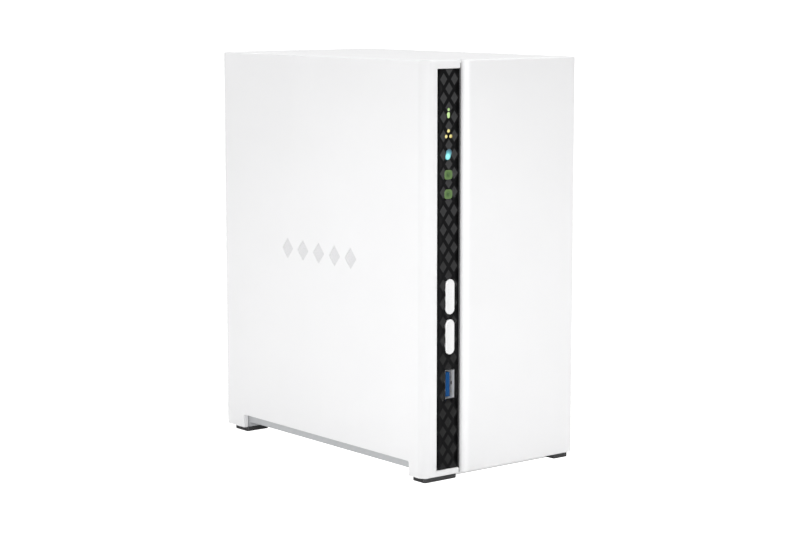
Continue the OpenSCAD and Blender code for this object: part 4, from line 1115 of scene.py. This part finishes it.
def leads(shape, low, high, face):
    """Gull-wing leads along the two long sides of a package that stands on the plane x = face."""
    along = 1 if high.y - low.y > high.z - low.z else 2
    across = 3 - along
    count = int((high[along] - low[along] - 2 * LEAD_W) / LEAD_PITCH)
    start = (low[along] + high[along] - (count - 1) * LEAD_PITCH) / 2
    for k in range(count):
        for edge, sign in ((low[across], -1), (high[across], 1)):
            a = start + k * LEAD_PITCH
            for reach, foot in LEAD_STEPS:
                ends = sorted((edge + sign * reach[0], edge + sign * reach[1]))
                p, q = [0.0] * 3, [0.0] * 3
                p[0], q[0] = face - foot[1], face - foot[0]
                p[along], q[along] = a - LEAD_W / 2, a + LEAD_W / 2
                p[across], q[across] = ends
                shape.box(p, q)


def passives(shape, area, taken, face, count, seed):
    """Seeded resistors and ceramic capacitors in the free places of a board, standing towards -X."""
    pick = random.Random(seed)
    placed = 0
    for _ in range(count * 12):
        if placed == count:
            break
        length, width, height = pick.choice(PASSIVE_SIZES)
        size = (length, width) if pick.random() < 0.5 else (width, length)
        y = round(pick.uniform(area[0], area[2] - size[0]), 1)
        z = round(pick.uniform(area[1], area[3] - size[1]), 1)
        spot = (y, z, y + size[0], z + size[1])
        room = PASSIVE_ROOM
        if any(spot[0] < t[2] + room and spot[2] > t[0] - room
               and spot[1] < t[3] + room and spot[3] > t[1] - room for t in taken):
            continue
        taken.append(spot)
        placed += 1
        cap = PASSIVE_END * length
        long_way = 0 if size[0] > size[1] else 1
        shape.skin = pick.choice((0, 0, 1))
        low, high = list(spot[:2]), list(spot[2:])
        low[long_way] += cap
        high[long_way] -= cap
        shape.box((face - height + BODY_LIFT, *low), (face, *high))
        shape.skin = 2
        for side in (0, 1):
            low, high = list(spot[:2]), list(spot[2:])
            if side:
                low[long_way] = high[long_way] - cap
            else:
                high[long_way] = low[long_way] + cap
            shape.box((face - height, *low), (face, *high))
    shape.skin = 0


PARTS_ON_BOARD = ("processor", "heatsink", "board_chips", "capacitors", "inductors", "clock_battery",
                  "buzzer", "indicator_leds", "switch_bodies", "usb_shells", "lan_shell", "power_jack")
CAN = ((0.0, -0.45), (0.12, -0.15), (0.4, 0.0), (5.6, 0.0), (5.9, -0.28), (6.2, -0.28), (6.5, 0.0),
       (7.0, 0.0))                 # along a can from its top, and how its radius differs there
CAN_BASE, CAN_CUT = 1.0, 0.9       # height of a can's black foot and what its two cut corners lose
CAN_MARK = 62                      # half the angle of the black segment on a can's top
WINDING = ((0.25, 2.55), (0.1, 2.5), (0.1, 1.6), (0.28, 1.5))      # profile of the turns in an inductor
BOARD_EDGE = 1.5                   # a board's bare edge
BOARD_COUNT, BOARD_SEED, DRIVE_COUNT, DRIVE_SEED = 230, 7, 90, 20


def mainboard_parts():
    """What is too small for the CAD model: passives, chip leads, pin dots, capacitor cans."""
    board_low, board_high = span("mainboard")
    face = board_low.x
    taken = [flat_box(points) for node in PARTS_ON_BOARD for points in solids(node)]
    taken += [flat_box(points) for points in solids("frame_screws")
              if abs(low_high(points)[1].x - face - PLAIN_SCREW) < 0.3]
    wires, dots = Shape(), Shape()
    for points in solids("board_chips"):
        low, high = low_high(points)
        if high.x - low.x > LEADED:
            leads(wires, low, high, face)
            taken.append((low.y - ROUND, low.z - ROUND, high.y + ROUND, high.z + ROUND))
        dots.turned([(0.0, DOT_R), (0.05, DOT_R)], (low.x - 0.02, low.y + ROUND, high.z - ROUND), X, 16)
    piece("chip_leads", wires, "chassis", M["tin"])
    piece("chip_dots", dots, "chassis", M["print"])
    small = Shape()
    area = (board_low.y + BOARD_EDGE, board_low.z + BOARD_EDGE, board_high.y - BOARD_EDGE,
            board_high.z - BOARD_EDGE)
    passives(small, area, taken, face, BOARD_COUNT, BOARD_SEED)
    piece("board_passives", small, "chassis", [M["resistor"], M["ceramic"], M["tin"]], 0.06, 1)

    cans = Shape()
    for points in solids("capacitors"):
        low, high = low_high(points)
        y, z, r = (low.y + high.y) / 2, (low.z + high.z) / 2, (high.y - low.y) / 2
        cans.skin = 0
        cans.turned([(along, r + more) for along, more in CAN], (low.x, y, z), X, 36)
        cans.skin = 1
        cut = r - CAN_CUT
        base = [(-r, -cut), (-cut, -r), (r, -r), (r, r), (-cut, r), (-r, cut)]
        cans.prism([(a + y, b + z) for a, b in base], high.x - CAN_BASE, high.x, on_yz)
        segment = [math.radians(t) for t in range(-CAN_MARK, CAN_MARK + 1, 4)]
        cans.prism([(y + (r - 0.5) * math.sin(t), z + (r - 0.5) * math.cos(t)) for t in segment],
                   low.x - 0.03, low.x + 0.05, on_yz)
    piece("capacitor_cans", cans, "chassis", [M["can"], M["black"]], 0.1, 2,
          stands_for=["capacitors"])

    cores = Shape()
    for points in solids("inductors"):
        low, high = low_high(points)
        cores.turned(WINDING, (low.x, (low.y + high.y) / 2, (low.z + high.z) / 2), X, 32)
    piece("inductor_windings", cores, "chassis", M["copper"])


# Place across and up, width, height and thickness of the chips on a drive's board
DRIVE_CHIPS = ((18, 30, 14, 14, 0.75), (44, 28, 9, 12, 0.75), (60, 52, 8, 8, 0.7), (30, 62, 6, 5, 0.7))
BOARD_SUNK = 1.0                   # a drive's board under the casting's back
DRIVE_AREA = (2, 13)               # bare edge of a drive's board, and the height of its connector
SPINDLE_UP = 95                    # from a drive's lower end to its spindle
PRESSED, SCREW_DEEP = 0.35, 0.8    # how deep the lid's fields and its screw seats are pressed
SEAT_R, HEAD_R, HEAD_TOP_R = 3.3, 2.5, 2.3
STAR_R, STAR_LOBE = 1.25, 0.2      # six-lobed recess of the lid screws
LABEL_UP, BAND_UP, LABEL_T = 30, 41, 0.1         # middles over the lid's lower end, and the thickness
FIELD, LABEL, BAND = (78, 38, 9), (72, 32, 2), (72, 7, 0.5)          # width, height and corner radius
LID_DISC_R = 42                    # pressed round field about the spindle
LID_SCREWS = (4.2, 5, 3.6, 6)      # the end screws' inset and distance, the middle ones' inset and offset


def star(y, z, points=36):
    """Six-lobed outline about a point."""
    outline = []
    for k in range(points):
        r = STAR_R + STAR_LOBE * math.cos(6 * 2 * math.pi * k / points)
        t = 2 * math.pi * k / points
        outline.append((y + r * math.cos(t), z + r * math.sin(t)))
    return outline


def drive_parts(n):
    """Chips and passives on a drive's board, its blank label, lid relief and lid screws."""
    board_low, board_high = span(f"drive{n}_board")
    base_low, base_high = span(f"drive{n}_base")
    lid_low, lid_high = span(f"drive{n}_lid")
    face = base_low.x + BOARD_SUNK
    spindle = (base_low.y + base_high.y) / 2, base_low.z + SPINDLE_UP
    edge, plug = DRIVE_AREA
    area = (board_low.y + edge, base_low.z + plug, board_high.y - edge, board_high.z - edge)
    chips, taken = Shape(), []
    for y, z, w, h, t in DRIVE_CHIPS:
        low = Vector((face - t, board_low.y + y, base_low.z + z))
        high = low + Vector((t, w, h))
        chips.box(low, high)
        taken.append((low.y, low.z, high.y, high.z))
    piece(f"drive{n}_chips", chips, "chassis", M["chip"], 0.1, 1)
    small = Shape()
    passives(small, area, taken, face, DRIVE_COUNT, DRIVE_SEED + n)
    piece(f"drive{n}_passives", small, "chassis", [M["resistor"], M["ceramic"], M["tin"]],
          0.06, 1)

    out = lid_high.x
    middle = (lid_low + lid_high) / 2
    inset, off, mid_inset, mid_off = LID_SCREWS
    rows = ((inset, lid_low.z + off), (mid_inset, middle.z - mid_off), (inset, lid_high.z - off))
    corners = [(y, z) for gap, z in rows for y in (lid_low.y + gap, lid_high.y - gap)]

    def field(width, height, radius, up):
        return [(a + middle.y, b + lid_low.z + up) for a, b in rounded(width, height, radius)]

    lid = loose("lid", welded(f"drive{n}_lid"))
    for outline, depth in ((circle(LID_DISC_R, 96, *spindle), PRESSED), (field(*FIELD, LABEL_UP), PRESSED),
                           *((circle(SEAT_R, 32, *spot), SCREW_DEEP) for spot in corners)):
        carve(lid, loose("tool", Shape().prism(outline, out - depth, out + 1, on_yz)))
    piece(f"drive{n}_cover", lid, "chassis", M["lid"], 0.12, 2, stands_for=[f"drive{n}_lid"])
    heads = Shape()
    for y, z in corners + [spindle]:
        depth = PRESSED if (y, z) == spindle else SCREW_DEEP
        wide, lobes = circle(HEAD_R, 36, y, z), star(y, z)
        rings = [[on_yz(a, b, out - under) for a, b in outline] for outline, under in (
            (wide, depth), (wide, 0.2), (circle(HEAD_TOP_R, 36, y, z), 0.04), (lobes, 0.04),
            (lobes, depth - 0.1))]
        heads.loft(rings)
    piece(f"drive{n}_lid_screws", heads, "chassis", M["zinc"])
    label = Shape()
    floor = out - PRESSED
    label.prism(field(*LABEL, LABEL_UP), floor, floor + LABEL_T, on_yz)
    label.skin = 1
    label.prism(field(*BAND, BAND_UP), floor + 0.02, floor + LABEL_T + 0.04, on_yz)
    piece(f"drive{n}_label", label, "chassis", [M["label"], M["band"]])


# ---------------------------------------------------------------- fan

BLADES = 7
HUB_R, CUP_DEEP, CUP_T, SHAFT_R = 13.5, 17.0, 1.2, 1.0      # hub, its hollow and the shaft
BLADE_BACK = 8.5                   # from the hub's face to the middle of the blades
ROOT_IN, TIP_IN = 0.3, 0.05        # a blade starts inside the hub and ends short of the CAD tip
ROOT_PITCH, PITCH_LOSS = 50, 17    # degrees at the root, and what is lost up to the tip
ROOT_CHORD, CHORD_LOSS = 17.5, 1.5
SWEEP, BOW = 0.32, 1.7             # how far the tip runs ahead, in radians, and how deep a blade is bowed
BLADE_HALF, BLADE_EDGE, BLADE_THINS = 0.62, 0.12, 0.55      # thickness, and its loss up to the tip
BLADE_REACH = 8.0                  # a blade stays within this of its middle along the shaft
STICKER_R, SPOT_R = 10.4, 7.0      # round sticker on the hub and its coloured middle
WIRE_R, WIRE_OFF = 0.48, 0.56      # one wire of the lead, and how far it lies from the lead's middle
TWIST = 26                         # points of the path in one turn of the twisted wires
LEAD_ROUTE = ((-10, 60, 66), (-10.6, 58, 61), (-12.4, 55, 57), (-15, 53, 54), (-17.2, 53, 54))
PLUG_LOW, PLUG_HIGH = (51.3, 51.3), (54.7, 56.7)      # (y, z) of the plug's corners
CLIP_Z, CLIP_PITCH, CLIP_W = 52.6, 1.25, 0.7          # the three dark contact windows of the plug


def fan_rotor():
    """Cupped hub and curved blades of the rotor, with its round sticker."""
    low, high = span("fan_rotor")
    x, z = (low.x + high.x) / 2, (low.z + high.z) / 2
    tip_r, shaft = (high.x - low.x) / 2, high.y - low.y
    bore = HUB_R - CUP_T - 0.3
    rotor = Shape()
    rotor.turned([(shaft, SHAFT_R - 0.3), (shaft - 0.3, SHAFT_R), (1.6, SHAFT_R), (1.6, bore),
                  (CUP_DEEP, bore), (CUP_DEEP, HUB_R - 0.3), (CUP_DEEP - 0.3, HUB_R), (1.3, HUB_R),
                  (0.7, HUB_R - 0.15), (0.25, HUB_R - 0.6), (0.0, HUB_R - 1.3)], (x, low.y, z), Y, 72)
    for blade in range(BLADES):
        rings = []
        for k in range(9):
            share = k / 8
            r = HUB_R - ROOT_IN + (tip_r - TIP_IN - HUB_R + ROOT_IN) * share
            pitch = math.radians(ROOT_PITCH - PITCH_LOSS * share)
            chord = ROOT_CHORD - CHORD_LOSS * share
            lead = 2 * math.pi * blade / BLADES + SWEEP * share ** 2
            upper, lower = [], []
            for j in range(11):
                s = j / 10 - 0.5
                bow = BOW * (1 - 4 * s * s)
                thick = math.sqrt(max(0.0, 1 - (2 * s) ** 2))
                half = BLADE_HALF * (1 - BLADE_THINS * share) * thick + BLADE_EDGE
                for side, sign in ((upper, 1), (lower, -1)):
                    across = bow + sign * half
                    around = s * chord * math.cos(pitch) - across * math.sin(pitch)
                    axial = s * chord * math.sin(pitch) + across * math.cos(pitch) - 1.0
                    axial = max(-BLADE_REACH, min(BLADE_REACH, axial))
                    t = lead + around / r
                    side.append((x + r * math.cos(t), low.y + BLADE_BACK + axial, z + r * math.sin(t)))
            rings.append(upper + lower[::-1])
        rotor.loft(rings)
    piece("fan_impeller", rotor, "rotor", M["fan"], stands_for=["fan_rotor"])
    sticker = Shape()
    sticker.turned([(0.0, STICKER_R), (0.06, STICKER_R)], (x, low.y - 0.06, z), Y, 64)
    sticker.skin = 1
    sticker.turned([(0.0, SPOT_R), (0.05, SPOT_R)], (x, low.y - 0.1, z), Y, 64)
    piece("fan_sticker", sticker, "rotor", [M["label"], M["band"]])


def fan_lead():
    """The lead's three twisted wires and its plug, along the route of the CAD lead."""
    middle = smooth_path([(*LEAD_ROUTE[0][:2], span("fan_frame")[0].z), *LEAD_ROUTE], 8)
    wires = Shape()
    for k in range(3):
        wires.skin = k
        path = []
        for j, point in enumerate(middle):
            way = heading(middle, j)
            side = way.cross(Y).normalized()
            other = way.cross(side)
            t = 2 * math.pi * (k / 3 + j / TWIST)
            path.append(point + WIRE_OFF * (math.cos(t) * side + math.sin(t) * other))
        wires.tube(path, WIRE_R, 10)
    end = LEAD_ROUTE[-1][0]
    wires.skin = 3
    wires.box((span("fan_cable")[0].x, *PLUG_LOW), (end, *PLUG_HIGH))
    for k in range(3):
        z = CLIP_Z + k * CLIP_PITCH
        wires.skin = 2
        wires.box((end - 2.2, PLUG_LOW[0] - 0.1, z), (end - 1.0, PLUG_LOW[0] + 0.2, z + CLIP_W))
    piece("fan_lead", wires, "chassis",
          [M["red_wire"], M["yellow_wire"], M["black_wire"], M["ivory"]], 0.08, 1, stands_for=["fan_cable"])


screws()
ports()
mainboard_parts()
for drive in (1, 2):
    drive_parts(drive)
fan_rotor()
fan_lead()

# CAD nodes whose own shape stays
REST = {
    "power_plunger": "plunger", "copy_plunger": "plunger", "reset_plunger": "plunger",
    "switch_bodies": "black", "mainboard": "board", "processor": "chip", "heatsink": "alu",
    "board_chips": "chip", "inductors": "ferrite", "clock_battery": "cell", "buzzer": "black",
    "indicator_leds": "ivory", "board_headers": "ivory",
    "front_usb_tongue": "blue", "rear_usb_tongues": "black", "lan_shell": "port", "lan_insert": "black",
    "power_jack": "black", "jack_pin": "brass", "backplane": "flat_board", "drive_sockets": "black",
    "drive_cage": "steel", "drive1_base": "casting", "drive1_board": "board", "drive1_platters": "mirror",
    "drive1_arm": "arm", "drive2_base": "casting", "drive2_board": "board", "drive2_platters": "mirror",
    "drive2_arm": "arm", "fan_frame": "fan", "fan_stator": "copper",
}
for node, skin in REST.items():
    dress(node, M[skin], 0.12)
